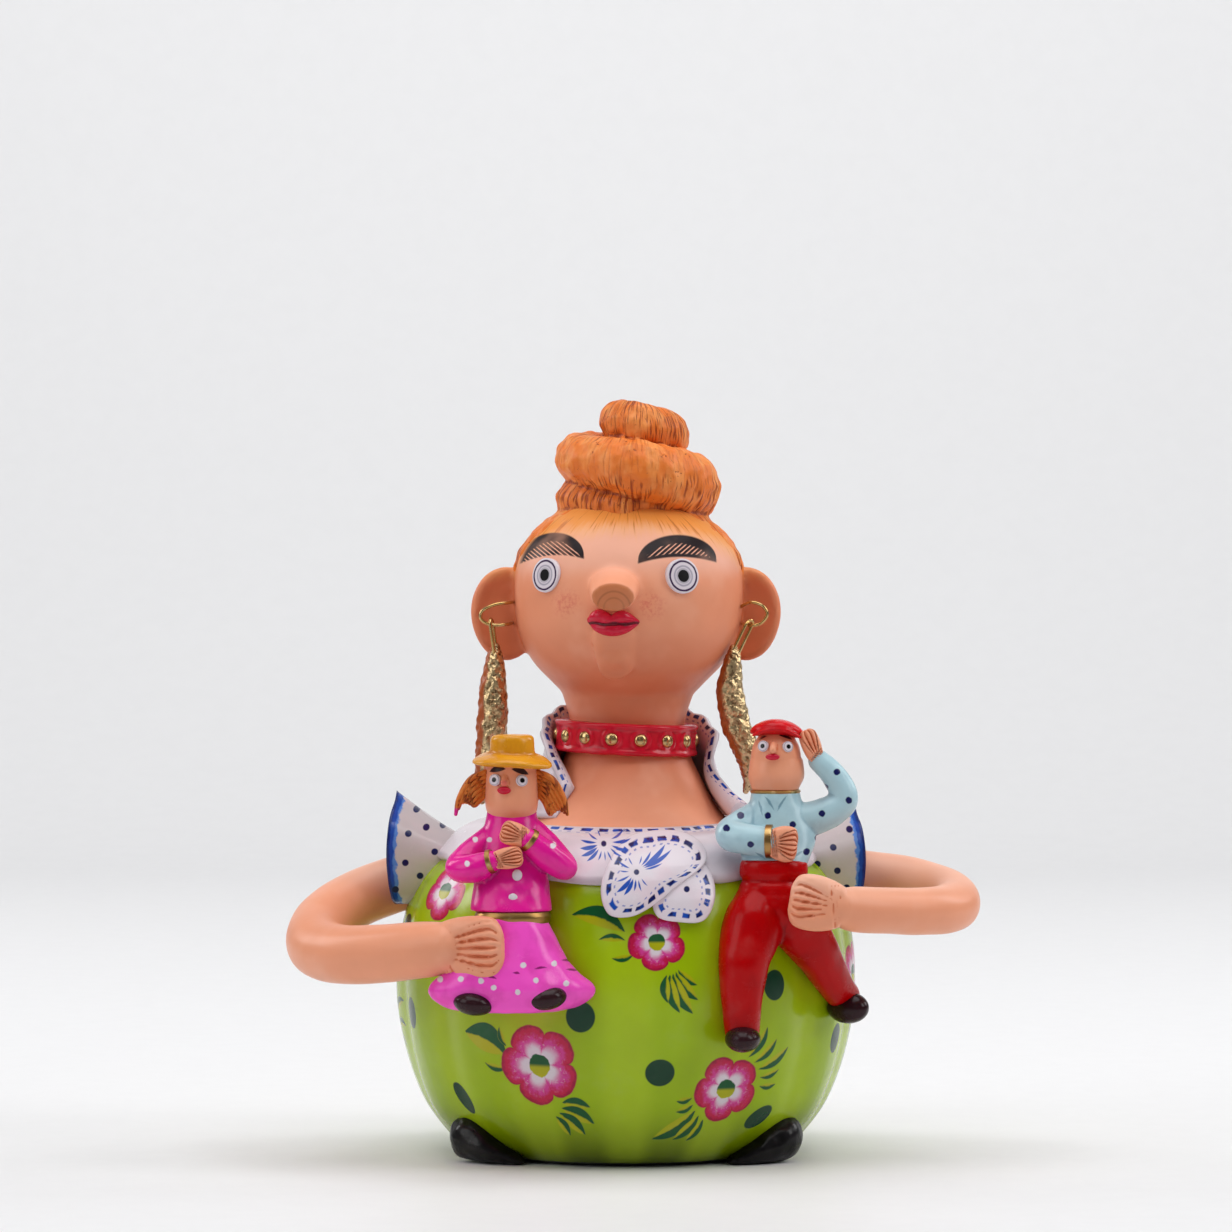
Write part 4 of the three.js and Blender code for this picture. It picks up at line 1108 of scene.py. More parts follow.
def lips_piece():
    """Two rolls from corner to corner; the upper one dips in its middle."""
    def lip(rows):
        return [(x, *on_face(x, z, lift)[1:], w, h) for x, z, lift, w, h in rows]

    upper = lip([
        (-12.0, 184.6, 0, 1.4, 1.4), (-9.2, 186.0, 1.4, 2.5, 2.4), (-5.0, 184.7, 1.8, 2.3, 1.9),
        (-1.2, 185.7, 1.5, 2.5, 2.3), (3.6, 184.0, 0, 1.0, 1.0),
    ])
    lower = lip([
        (-11.6, 183.6, 0, 1.1, 1.1), (-8.8, 182.0, 1.2, 2.3, 2.1), (-4.8, 181.4, 1.8, 2.7, 2.3),
        (-0.8, 181.9, 1.3, 2.3, 2.0), (3.2, 183.4, 0, 1.0, 1.0),
    ])
    shells = [tube(rows, sides=24, steps=60) for rows in (upper, lower)]
    return clay_piece("lips", shells, paint_lips(), grain=0.3, soften=2)


BUN_X = 4.6
BUN_Y = 3
# Turn in degrees from +X, radius of the turn, height, half width, half height
BUN_COIL = [
    (250, 16, 222.5, 6, 6), (180, 20.4, 225.5, 8.4, 8), (90, 20, 226.5, 8, 8), (0, 19, 229.6, 9.2, 11.6),
    (-90, 18.5, 236, 9, 10), (-180, 20.5, 240, 9, 8.8), (-270, 15.5, 243, 8.4, 8), (-360, 9, 248, 8.6, 8.2),
    (-450, 7.5, 250.8, 8, 8.2), (-540, 7, 252.6, 7, 7.6), (-610, 3, 253, 5, 5),
]


def hair_piece():
    """Coil, core and the cap of hair behind the hairline, which dives under the skin in front of it."""
    def strands(along, around):
        comb = (along * 96 + 0.6 * np.sin(along * 41) + 0.12 * np.sin(around * 2)) % 1 - 0.5
        hanging = np.exp(-(((along - 0.29) / 0.07) ** 2)) + np.exp(-((along / 0.1) ** 2))
        strength = 0.012 + 0.06 * np.minimum(hanging, 1) * (0.7 + 0.3 * np.sin(along * 230))
        dents = np.sin(along * 57 + 3 * around) * np.sin(along * 91 - around) * 0.022
        swirl = 0.07 * np.exp(-(((around - 5.4 + 3 * (along - 0.9)) / 0.22) ** 2)) * (along > 0.8)
        return 0.99 - strength * np.exp(-((comb / 0.2) ** 2)) - dents - swirl

    def cap(angle, height, reach):
        ragged = 1.6 * np.sin(angle * 31) + 1.2 * np.sin(angle * 47 + 1)
        line = height + HAIRLINE_SLOPE * reach * np.sin(angle) - HAIRLINE_HEIGHT + ragged
        line = line - 40 * np.clip(-0.15 - np.sin(angle), 0, 0.5)
        grown = np.clip(line / 5 + 0.5, 0, 1)
        combed = 0.3 * np.sin(angle * 70 + height * 0.12)
        thick = (1.8 + combed) * np.clip(0.42 + 0.75 * np.sin(angle), 0, 1) + 0.1
        return grown * thick - (1 - grown) * 1.6

    stops = []
    for degrees, radius, height, half, high in BUN_COIL:
        turn = math.radians(degrees)
        stops.append((BUN_X + radius * math.cos(turn), BUN_Y + radius * math.sin(turn), height, half, high))
    coil = tube(stops, sides=44, steps=360, shape=strands)
    core = ball((BUN_X, BUN_Y, 228), (19, 19, 18))
    crown = ball((BUN_X + 2, BUN_Y, 249), (9, 9, 8.6))
    shells = [coil, core, crown, skin_over(wide_rings(HEAD_X, HEAD_RINGS, 420, 110, cap))]
    hair = paint_hair("orange_hair", HAIR, HAIR_SHADE, HAIR_LIGHT, centre=(BUN_X, BUN_Y), smooth_part=(233, 246))
    return clay_piece("hair", shells, hair, grain=0.7, soften=1, uneven=0.45, lump=6, seed=4)


def ring_shell(centre, radius, thick, look, sides=28, turns=10):
    """A small ring lying in a plane square to a level heading."""
    around = np.arange(sides) / sides * TURN
    section = np.arange(turns) / turns * TURN
    out = radius + thick * np.cos(section)[None]
    points = np.stack([
        out * np.cos(around)[:, None], np.broadcast_to(thick * np.sin(section)[None], (sides, turns)),
        out * np.sin(around)[:, None],
    ], -1)
    points = turned(points, (0, 0, look)) + np.asarray(centre, float)
    points = np.concatenate([points, points[:1]]).reshape(-1, 3)
    return Shell(points, outward(points, grid_faces(sides + 1, turns)), {})


def tilted(shell, middle):
    """The shell turned a little about Y, so that the choker sits higher on the figure's right."""
    lift = np.array([0, 0, middle])
    return shell._replace(points=turned(shell.points - lift, (0, CHOKER_TILT, 0)) + lift)


def choker_pieces():
    """A red band with a raised rim above and below, and studs, each in a red ring."""
    middle, half = (CHOKER_LOW + CHOKER_HIGH) / 2, (CHOKER_HIGH - CHOKER_LOW) / 2
    profile = rows_through([
        (-6, half), (-1.2, half), (-0.2, half - 0.5), (0, half - 1.1), (-0.5, half - 1.9),
        (-0.8, half - 2.6), (-0.8, 2.6 - half), (-0.5, 1.9 - half), (0, 1.1 - half), (-0.2, 0.5 - half),
        (-1.2, -half), (-6, -half),
    ], 60)
    angle = np.arange(144) / 144 * TURN
    radius = CHOKER_RADIUS + profile[:, :1]
    rings = np.stack([
        radius * np.cos(angle), radius * np.sin(angle), np.broadcast_to(middle + profile[:, 1:2], (60, 144))
    ], -1)
    points = np.concatenate([rings, rings[:1]]).reshape(-1, 3)
    shells, studs = [Shell(points, outward(points, grid_faces(61, 144)), {})], []
    for i in range(STUD_COUNT):
        look = 12 + 360 * i / STUD_COUNT
        heading = math.radians(look)
        ahead = np.array([math.sin(heading), -math.cos(heading), 0])
        spot = ahead * (CHOKER_RADIUS - 0.9) + np.array([0, 0, middle])
        shells.append(ring_shell(spot, STUD_RADIUS + 0.7, 0.42, look))
        studs.append(ball(spot, (STUD_RADIUS, 1.3, STUD_RADIUS), (0, 0, look), across=22, down=11))
    shells, studs = [[tilted(shell, middle) for shell in group] for group in (shells, studs)]
    red = paint_plain("red_choker_glaze", RED, (150, 8, 26), roughness=0.22, coat=0.5)
    gold = paint_gold("gold_stud", GOLD, 0.25)
    return [
        clay_piece("choker", shells, red, grain=0.5, soften=2, uneven=0.12, lump=8),
        plain_piece("choker_studs", studs, gold),
    ]


RIGHT_ARM = [
    (-62, 4, 97, 9.5), (-80, 2, 92, 9.8), (-95, -6, 86.5, 10), (-104.5, -20, 79.5, 10.4),
    (-105, -37, 73.5, 10.4), (-95, -54, 72, 10), (-80, -68, 73.5, 9.8), (-67, -77, 75.5, 9.4),
    (-60, -81, 76.5, 8.5),
]
LEFT_ARM = [
    (62, 4, 98, 8.5), (80, 2, 95.5, 8.6), (97, -4, 93.5, 8.6), (109, -16, 90.5, 8.8),
    (112.5, -32, 87.5, 8.6), (105, -48, 86.5, 8.2), (91, -61, 87.2, 7.9), (77, -71, 88.5, 7.7),
    (72, -75, 89.6, 6.5),
]
# Share of the length, share of the spread, share of the thickness
HAND_SHAPE = [
    (0, 0.74, 0.95), (0.2, 0.9, 1.05), (0.45, 1.0, 1.0), (0.7, 1.0, 0.92), (0.87, 0.9, 0.76),
    (0.95, 0.7, 0.5), (1, 0.42, 0.3),
]
FINGERS = 6


def hand_shell(wrist, tips, spread, thick, fingers=FINGERS, rows=70, sides=180):
    """A paddle from the wrist to the tips. Creases fan out from the wrist between the fingers, as
    1 - |sin| of the finger count across the fan, and the tips are scalloped the same way."""
    start, end = np.array(wrist, float), np.array(tips, float)
    ahead = unit(end - start)
    out = unit(np.cross(ahead, (0, 0, 1)))
    out = -out if out[1] > 0 else out
    across = np.cross(ahead, out)
    shape = rows_through(HAND_SHAPE, rows)
    share, wide, deep = shape[:, :1], shape[:, 1:2], shape[:, 2:3]
    angle = np.arange(sides) / sides * TURN
    place = np.cos(angle)
    fan = place / np.clip(0.35 + 0.9 * (share - 0.2), 0.35, 1)
    finger = np.maximum(np.abs(np.sin(np.pi * fingers * (fan + 1) / 2)), np.abs(fan) > 0.98)
    crease = (1 - finger) ** 0.9 * np.clip((share - 0.2) / 0.2, 0, 1)
    for wrinkle in (0.04, 0.12, 0.2):
        crease = np.maximum(crease, 0.8 * np.exp(-(((share - wrinkle - 0.13 * place) / 0.02) ** 2)))
    crease = crease * (np.sin(angle) > 0)
    height = np.sign(np.sin(angle)) * np.abs(np.sin(angle)) ** 0.6 * (1 - 0.64 * crease)
    reach = share - 0.06 * (1 - finger) ** 1.5 * np.clip((share - 0.6) / 0.4, 0, 1)
    middle = start + reach[..., None] * (end - start)
    rings = (
        middle
        + (spread * 0.5 * wide * place)[..., None] * across
        + (thick * deep * height)[..., None] * out
    )
    return skin_over(rings)


def arm_pieces():
    hands = {
        "right": (RIGHT_ARM, hand_shell((-63, -79, 76), (-41, -92, 77.5), 21, 5.2)),
        "left": (LEFT_ARM, hand_shell((72, -75.9, 89.5), (54.5, -77.3, 92.5), 18.5, 5.3)),
    }
    skin = paint_skin("satin_skin")
    return [
        clay_piece(f"arm_{side}", [tube(stops, sides=48, steps=140), hand], skin, 0.58, 1, 0.16, 20)
        for side, (stops, hand) in hands.items()
    ]


# Blouse, collar and sleeves


def blouse_piece():
    """A puffed band round the shoulders, its two folded ends in front, and a standing collar."""
    count, rows = 289, 20
    u = np.linspace(0, 1, count)[:-1][None]
    v = np.linspace(0, 1, rows)[:, None]
    degrees = 360 * u
    front = np.maximum(0, np.cos(np.radians(degrees)))
    low = 104 - 5.5 * front + 0.9 * np.sin(np.radians(degrees * 9))
    neck = 41 + 4.5 * front + 0.8 * np.sin(np.radians(degrees * 7))
    profile = rows_through(DRESS_PROFILE, 200)
    hem = np.interp(low, profile[:, 0], profile[:, 1]) + 1.8
    radius = hem + (neck - hem) * v
    swell = 3.4 * np.sin(np.pi * np.minimum(1, v * 1.15))
    height = low + (116 - 1.5 * front - low) * v**0.85 + swell
    face = np.stack([
        radius * np.sin(np.radians(degrees)), -radius * np.cos(np.radians(degrees)), height
    ], -1)
    drop = np.array([0, 0, -1.0]) * 2.6
    inner = face * np.array([0.965, 0.965, 1]) + drop
    rim = np.broadcast_to((1 - v) * 26, (rows, count - 1))
    run = np.broadcast_to(np.radians(degrees) * 45, (rows, count - 1))
    edged = np.ones((rows, count - 1))
    marks = {"rim": rim, "run": run, "edged": edged}
    band = sheet_of(face, inner, True, marks)
    lobes = [lobe_shell(*fold) for fold in FOLDS]
    white = paint_white("white_blouse", WHITE, dots=[(20.2, 95.4)], stars=STARBURSTS)
    return plain_piece("blouse", [band, *lobes, collar_shell()], white)


# Folded ends of the blouse: the outline in x and z, how far it lies off the blouse, the thickness and
# how far the cushion bulges
FOLDS = [
    ([
        (28.4, 90.6), (28.6, 97), (25.6, 102.4), (19, 103.6), (12, 100), (9.6, 93.6), (11.2, 87.2), (18, 85.4),
        (25, 85.6),
    ], 0.2, 2.0, 1.0),
    ([
        (25, 103.2), (24.6, 108.6), (18.6, 112.4), (9.6, 113), (0.8, 111), (-5, 104), (-7.4, 95.6), (-5, 88.4),
        (1.8, 87.6), (8.6, 90.8), (16.2, 96.6),
    ], 1.8, 2.2, 1.6),
]
# Radius at each height of the wall that the folds lie on
FOLD_BED = [
    (84, 77.2), (92, 74.6), (98.5, 71.2), (103, 68), (107, 63.4), (110.7, 58.4), (112.3, 54), (114.5, 48),
]
# Brush strokes in fans: the middle of the fan, then heading, start, end, width and bend of each stroke
STARBURSTS = [
    ((-7.6, 109.8), [
        (172, 2.2, 8.2, 0.8, 0.3), (190, 2.0, 8.4, 1.2, 0.5), (207, 2.2, 8.8, 1.2, 0.5), (224, 2.2, 8.2, 1.0, 0.4),
        (250, 2.2, 5.8, 0.6, 0.2), (275, 2.2, 5.6, 0.5, 0.1), (300, 2.4, 6.0, 0.6, -0.2), (330, 2.4, 7.4, 0.7, -0.4),
        (350, 2.4, 9.0, 0.9, -0.5), (12, 2.6, 9.6, 0.9, -0.6), (32, 2.6, 8.2, 0.7, -0.5), (118, 2.2, 4.6, 0.5, 0.1),
        (150, 2.2, 6.2, 0.6, 0.2),
    ]),
    ((3.4, 101.2), [
        (18, 2.6, 9.4, 0.7, -0.3), (31, 2.4, 14.0, 1.2, -0.7), (42, 2.4, 13.2, 1.4, -0.8), (54, 2.4, 8.4, 0.8, -0.4),
        (72, 2.4, 5.6, 0.5, -0.2), (120, 2.4, 5.6, 0.5, 0.1), (150, 2.4, 7.2, 0.7, 0.3), (175, 2.4, 6.0, 0.5, 0.2),
        (204, 2.4, 7.6, 0.7, 0.3), (224, 2.2, 9.6, 1.3, 0.6), (240, 2.2, 8.8, 1.2, 0.5), (262, 2.2, 6.4, 0.7, 0.2),
        (285, 2.4, 6.6, 0.6, -0.2), (310, 2.4, 6.0, 0.5, -0.2),
    ]),
]


def lobe_shell(outline, base, thick, bulge):
    """A cushion over an outline in x and z, laid on the blouse's wall: y is -sqrt(radius ** 2 - x ** 2) less
    its lift, which is bulge * (1 - s * s) more in the middle than at the rim. It knows how far each
    point is from its rim."""
    outline = np.array(outline, float)
    per = 16
    looped = np.concatenate([outline[-1:], outline, outline[:2]])
    around = rows_through(looped, (len(outline) + 2) * per + 1)[per:-per - 1]
    middle = around.mean(0)
    out = around - middle
    spread = np.linalg.norm(out, axis=1)
    share = np.sin(np.linspace(0, np.pi / 2, 20))[1:, None]
    turn = np.linspace(0, np.pi, 9)[1:-1, None]
    reach = np.concatenate([share, 1 + np.sin(turn) * thick / 2 / spread.mean(), share[::-1]])
    lift = np.concatenate([
        thick + bulge * (1 - share**2), thick * (1 + np.cos(turn)) / 2, 0 * share
    ]) + base
    x = middle[0] + reach * out[:, 0]
    z = middle[1] + reach * out[:, 1]
    bed = np.array(FOLD_BED, float)
    radius = np.interp(z, bed[:, 0], bed[:, 1])
    y = -np.sqrt(radius**2 - x**2) - lift
    gap = np.maximum(1 - reach, 0) * spread
    step = np.linalg.norm(np.roll(around, -1, 0) - around, axis=1)
    run = np.broadcast_to(np.cumsum(step), gap.shape)
    return skin_over(np.stack([x, y, z], -1), {"rim": gap, "run": run, "edged": np.ones(gap.shape)})


# Angle from the front, foot radius and height, waist radius and height, rim radius and height
COLLAR_STOPS = [
    (-302, 48, 113.5, 42, 120, 50, 120.5), (-292, 44, 115, 33, 124, 38, 126),
    (-282, 42, 115.5, 27, 130, 31.5, 134), (-270, 40, 116, 26, 138, 32, 144),
    (-225, 38, 117, 25, 146, 28, 153), (-180, 38, 117, 25, 148, 28, 155.5),
    (-135, 38, 117, 24.5, 146, 28, 154), (-90, 38, 117, 24, 142, 29.5, 147),
    (-58, 37, 117, 24, 136, 31, 135), (-42, 36, 117, 26, 128, 33, 126),
]


def collar_shell():
    """An open sheet round the neck: each upright line is a curve (1-v)^2 foot + 2v(1-v) waist + v^2 rim."""
    rows = rows_through(COLLAR_STOPS, 130)
    angle = np.radians(rows[:, :1])
    v = np.linspace(0, 1, 22)[None]
    a, b, c = (1 - v) ** 2, 2 * v * (1 - v), v**2
    radius = a * rows[:, 1:2] + b * rows[:, 3:4] + c * rows[:, 5:6]
    height = a * rows[:, 2:3] + b * rows[:, 4:5] + c * rows[:, 6:7]
    frill = 0.4 * np.sin(angle * 17) * v**3
    points = np.stack([
        (radius + frill) * np.sin(angle), 1 - (radius + frill) * np.cos(angle), height + frill
    ], -1)
    normal = unit(np.cross(np.gradient(points, axis=0), np.gradient(points, axis=1)))
    outside = np.sign((normal[..., :2] * points[..., :2]).sum(-1).mean())
    half = 1.4 * np.sqrt(np.clip(1 - (np.abs(v - 0.45) / 0.62) ** 4, 0.05, 1))
    normal = normal * outside * half[..., None]
    back = points - normal * 2
    steps = np.linalg.norm(np.diff(points[:, -1], axis=0), axis=-1)
    run = np.concatenate([[0], np.cumsum(steps)])[:, None] + 0 * v
    rim = (1 - v) * 26 + 0 * angle
    marks = {"rim": rim, "run": run, "edged": np.ones(run.shape)}
    return sheet_of(points, back, False, marks)


SLEEVE_DOTS = {
    "right": [
        (-72.5, 118.5), (-69, 112.5), (-75, 110.6), (-63.4, 113), (-66, 104.2), (-76, 100.6), (-79.4, 91.4),
        (-58.6, 106.2), (-71, 96),
    ],
    "left": [(71.4, 105.8), (72.8, 97.8), (77, 112), (66, 100), (76, 92)],
}


def sleeve_piece(side, name, mouth, up, down):
    """A bell from the shoulder to a wavy hem: the half sizes grow as v ** 1.3, with five waves round."""
    u = (np.arange(160) / 160)[None]
    v = np.linspace(0, 1, 34)[:, None]
    angle = TURN * u
    flare = v**1.3
    wave = 1 + 0.05 * flare * np.sin(5 * angle + 1)
    reach = np.where(np.sin(angle) > 0, up, down)
    half = (11 + (reach - 11) * flare) * wave
    deep = (10.5 + 6 * flare) * wave
    points = np.stack([
        side * (54 + 27 * v + 1.5 * v * np.cos(2 * angle)),
        1 - 3 * v + deep * np.cos(angle),
        97 + (mouth - 97) * v + half * np.sin(angle),
    ], -1)
    middle = np.stack([
        side * (54 + 27 * v[:, 0]), 1 - 3 * v[:, 0], 97 + (mouth - 97) * v[:, 0]
    ], -1)[:, None]
    inner = points - unit(points - middle) * (1.1 + 1.1 * (1 - v))[..., None]
    rim = (1 - v) * 30 + 0 * angle
    run = angle * 17 + 0 * v
    marks = {"rim": rim, "run": run, "edged": np.zeros(run.shape)}
    shell = sheet_of(points, inner, True, marks)
    white = paint_white(
        f"white_sleeve_{name}", SLEEVE_WHITE, dots=SLEEVE_DOTS[name], dot_radius=1.15, hem=1.6, dashes=False
    )
    return plain_piece(f"sleeve_{name}", [shell], white)


# The small lady


def drooping(depth):
    """A change for a ball: its sides hang lower than its middle by depth * x * x."""
    return lambda rings: rings - np.array([0, 0, depth]) * (rings[..., :1] ** 2 - 0.3)


def lady_piece():
    x = LADY_X
    fold_top = 88

    def fold(angle, height):
        low = np.clip((fold_top - 16 - height) / 10, 0, 1)
        return 1 + 0.01 * np.cos(6 * angle) + low * (0.05 * np.cos(5 * angle + 0.6) + 0.02 * np.cos(11 * angle))

    skirt = column([
        (x, -77.5, 88, 10.5, 8.5), (x, -78, 81, 14.4, 10.8), (x - 0.4, -79, 72.5, 19, 12.4),
        (x - 0.6, -79, 68, 22.6, 13.2), (x - 0.6, -79, 64.6, 26.2, 13.8), (x - 0.6, -79, 62, 27, 13.8),
        (x - 0.6, -79, 59.4, 25.6, 12.6), (x - 0.6, -79, 56.6, 21.5, 11.4), (x - 0.6, -79, 55, 15, 9.4),
    ], 120, 80, fold)
    coat = [
        column([
            (x, -66, 122.4, 8.2, 7.2), (x, -66, 119, 8.6, 7.4), (x, -68, 112, 10.2, 8), (x, -71.5, 100, 12.2, 9),
            (x, -75.5, 89.5, 13.6, 10.5), (x, -75.8, 88.4, 13, 10),
        ], 60),
        tube([(-45.5, -67.5, 112, 4.6), (-52.5, -71, 106.5, 4.8), (-56.2, -76, 102.6, 4.4), (-50.5, -80, 102.9, 4.9),
              (-45.2, -81.3, 105.2, 3.7)], 28, 50),
        tube([(-31.5, -66.5, 114.5, 4.4), (-25.5, -70, 108.5, 4.6), (-20.6, -74.5, 102.8, 4.4),
              (-26.4, -78, 107, 4.8), (-32.4, -79.3, 112, 3.9)], 28, 50),
    ]
    skin = [
        column([(x, -66, 118.5, 7.4, 7), (x, -66, 123, 8.8, 8.4), (x, -65, 130, 8.9, 8.6), (x, -64.3, 137, 8.7, 8.4)],
               60),
        tube([(x - 2.4, -72.6, 133, 0.9), (x - 2.4, -73.6, 131.8, 1.1), (x - 2.4, -74.2, 130.9, 1.2)], 20, 20),
    ]
    hair = [ball((x, -60.5, 128), (9.6, 7, 10)), ball((x, -61.8, 135), (9.6, 8, 3.6))]
    for side, rise in ((-1, 1.9), (1, 0.6)):
        for k in range(6):
            hair.append(tube([
                (x + side * 6.5, -65.4 + k * 0.3, 134.8 - k * 1.1, 1.0, 1.3),
                (x + side * (13.4 - 0.5 * k), -67.8 + k * 0.3, 132.2 - k * 1.5, 1.05, 1.4),
                (x + side * (17.5 - 0.9 * k), -68.6 + k * 0.3, 125.8 - k * (1.4 - rise * 0.5), 0.9, 1.2),
                (x + side * (18.7 - 0.9 * k), -68.2 + k * 0.3, 120.2 + k * rise, 0.6, 0.7),
            ], 12, 30, up=(0, -1, 0)))
    hands = [
        hand_shell((-44, -81.6, 105.6), (-34.6, -83.4, 107.2), 7.2, 2.8, fingers=5, rows=40, sides=96),
        hand_shell((-33.2, -79.8, 112.8), (-41.8, -80.6, 115.6), 8, 2.8, fingers=5, rows=40, sides=96),
    ]

    hat = [
        ball((x + 0.3, -66.2, 138.4), (13.6, 12.4, 2.4), (8, 3, 0), 60, 34, drooping(0.8)),
        column([(x + 0.2, -64.5, 136, 7.7, 7.7), (x + 0.2, -64.5, 144.4, 7.4, 7.4), (x + 0.2, -64.5, 146.2, 6.8, 6.8),
                (x + 0.2, -64.5, 146.8, 5.4, 5.4), (x + 0.2, -64.5, 146.6, 2.4, 2.4)], 48),
    ]
    belt = column([(x + 0.6, -76.6, 88.2, 12.2, 9.8), (x + 0.6, -76.8, 86.6, 12.8, 10.2),
                   (x + 0.6, -77, 84.6, 12.2, 9.8)], 60)
    shoes = [ball((cx, -87.2, cz), (6.8, 6.6, 4.1), (0, side * 8, 0)) for cx, cz, side in
             ((-50.8, 58.4, 1), (-26.6, 60.2, -1))]
    cuffs = [
        tube([(-45.8, -81.2, 105, 4.2), (-44.4, -81.6, 105.4, 4.0)], 36, 8, ends=(False, False)),
        tube([(-31.9, -79.2, 111.7, 4.3), (-33.1, -79.6, 112.7, 4.1)], 36, 8, ends=(False, False)),
    ]
    buttons = [ball(spot, (1.7, 0.8, 1.9), across=24, down=14) for spot in
               ((-36.4, -81.0, 100.6), (-37.8, -83.6, 92.8), (-38.2, -88.0, 76.4))]
    eyes = [eye_shell((x + dx, -73.2, 131.8 + dz), 2.0, look, 1.6, 0.4) for dx, dz, look in
            ((-5.6, 0.2, -28), (3.6, 0, 20))]
    mouth = ball((x - 2.4, -73.9, 128.5), (2.3, 1.0, 1.3), (0, 0, -8), across=28, down=18)
    magenta = paint_dotted("lady_coat_glaze", MAGENTA, (160, 14, 110),
                           [(-50.6, 112), (-53, 104.6), (-24.4, 110.4), (-45.8, 112), (-21.6, 92.6)], 0.9, WHITE)
    pink = paint_dotted("lady_skirt_glaze", SKIRT_PINK, (206, 20, 140), [
        (-48.2, 66.2), (-30, 66.4), (-20, 65), (-44, 64), (-55, 66.6), (-62, 66.2), (-34.2, 71.4),
        (-36, 62.6), (-24, 71.6), (-45, 71.6),
    ], 0.95, WHITE, strokes=[
        (-53, 68.8, -49.6, 68.4, 0.35), (-46, 67.4, -42.8, 66.8, 0.35), (-38, 68.8, -35, 68.4, 0.35),
        (-31, 70, -26, 70.4, 0.3), (-22, 72.6, -16.6, 71.0, 0.3), (-20.4, 69.4, -16, 68.4, 0.3),
    ], stroke_colour=(120, 10, 84))
    face = paint_small_face("lady_skin", [
        ((-46, 134.4), (-40.2, 135.6), 0.6), ((-38.6, 135.6), (-32.6, 133.6), 0.5),
    ], 1.7, nose=(x - 2.4, 130.9))
    parts = [
        clay_piece("lady", [skirt], pink, 0.75, 2, 0.12, 8, 11),
        clay_piece("coat", coat, magenta, 0.6, 2, 0.1, 7, 12),
        clay_piece("skin", skin, face, 0.46, 1),
        plain_piece("hands", hands, face),
        plain_piece("hair", hair, paint_hair(
            "lady_hair", LADY_HAIR, (138, 54, 12), (240, 160, 80), centre=(x, -60),
            tips=[((-57.4, -68, 120.6), 2.6, MAGENTA)],
        )),
        clay_piece("hat", hat, paint_plain("yellow_hat_glaze", HAT, (190, 104, 10)), 0.6, 2, 0.1, 6, 13),
        plain_piece("belt", [belt, *cuffs], paint_gold("gold_trim", TRIM_GOLD, 0.34)),
        plain_piece("shoes", shoes, paint_plain("brown_shoe_glaze", SHOE_BROWN, (20, 8, 10), brush=0.2, gloss=0.16)),
        plain_piece("buttons", buttons, paint_plain("white_button", WHITE, (160, 150, 165), brush=0.2)),
        plain_piece("eyes", eyes, paint_small_eye("small_eye")),
        plain_piece("mouth", [mouth], paint_plain("small_lips", LIPS, (120, 8, 30))),
    ]
    return joined("lady", parts)


# The small man


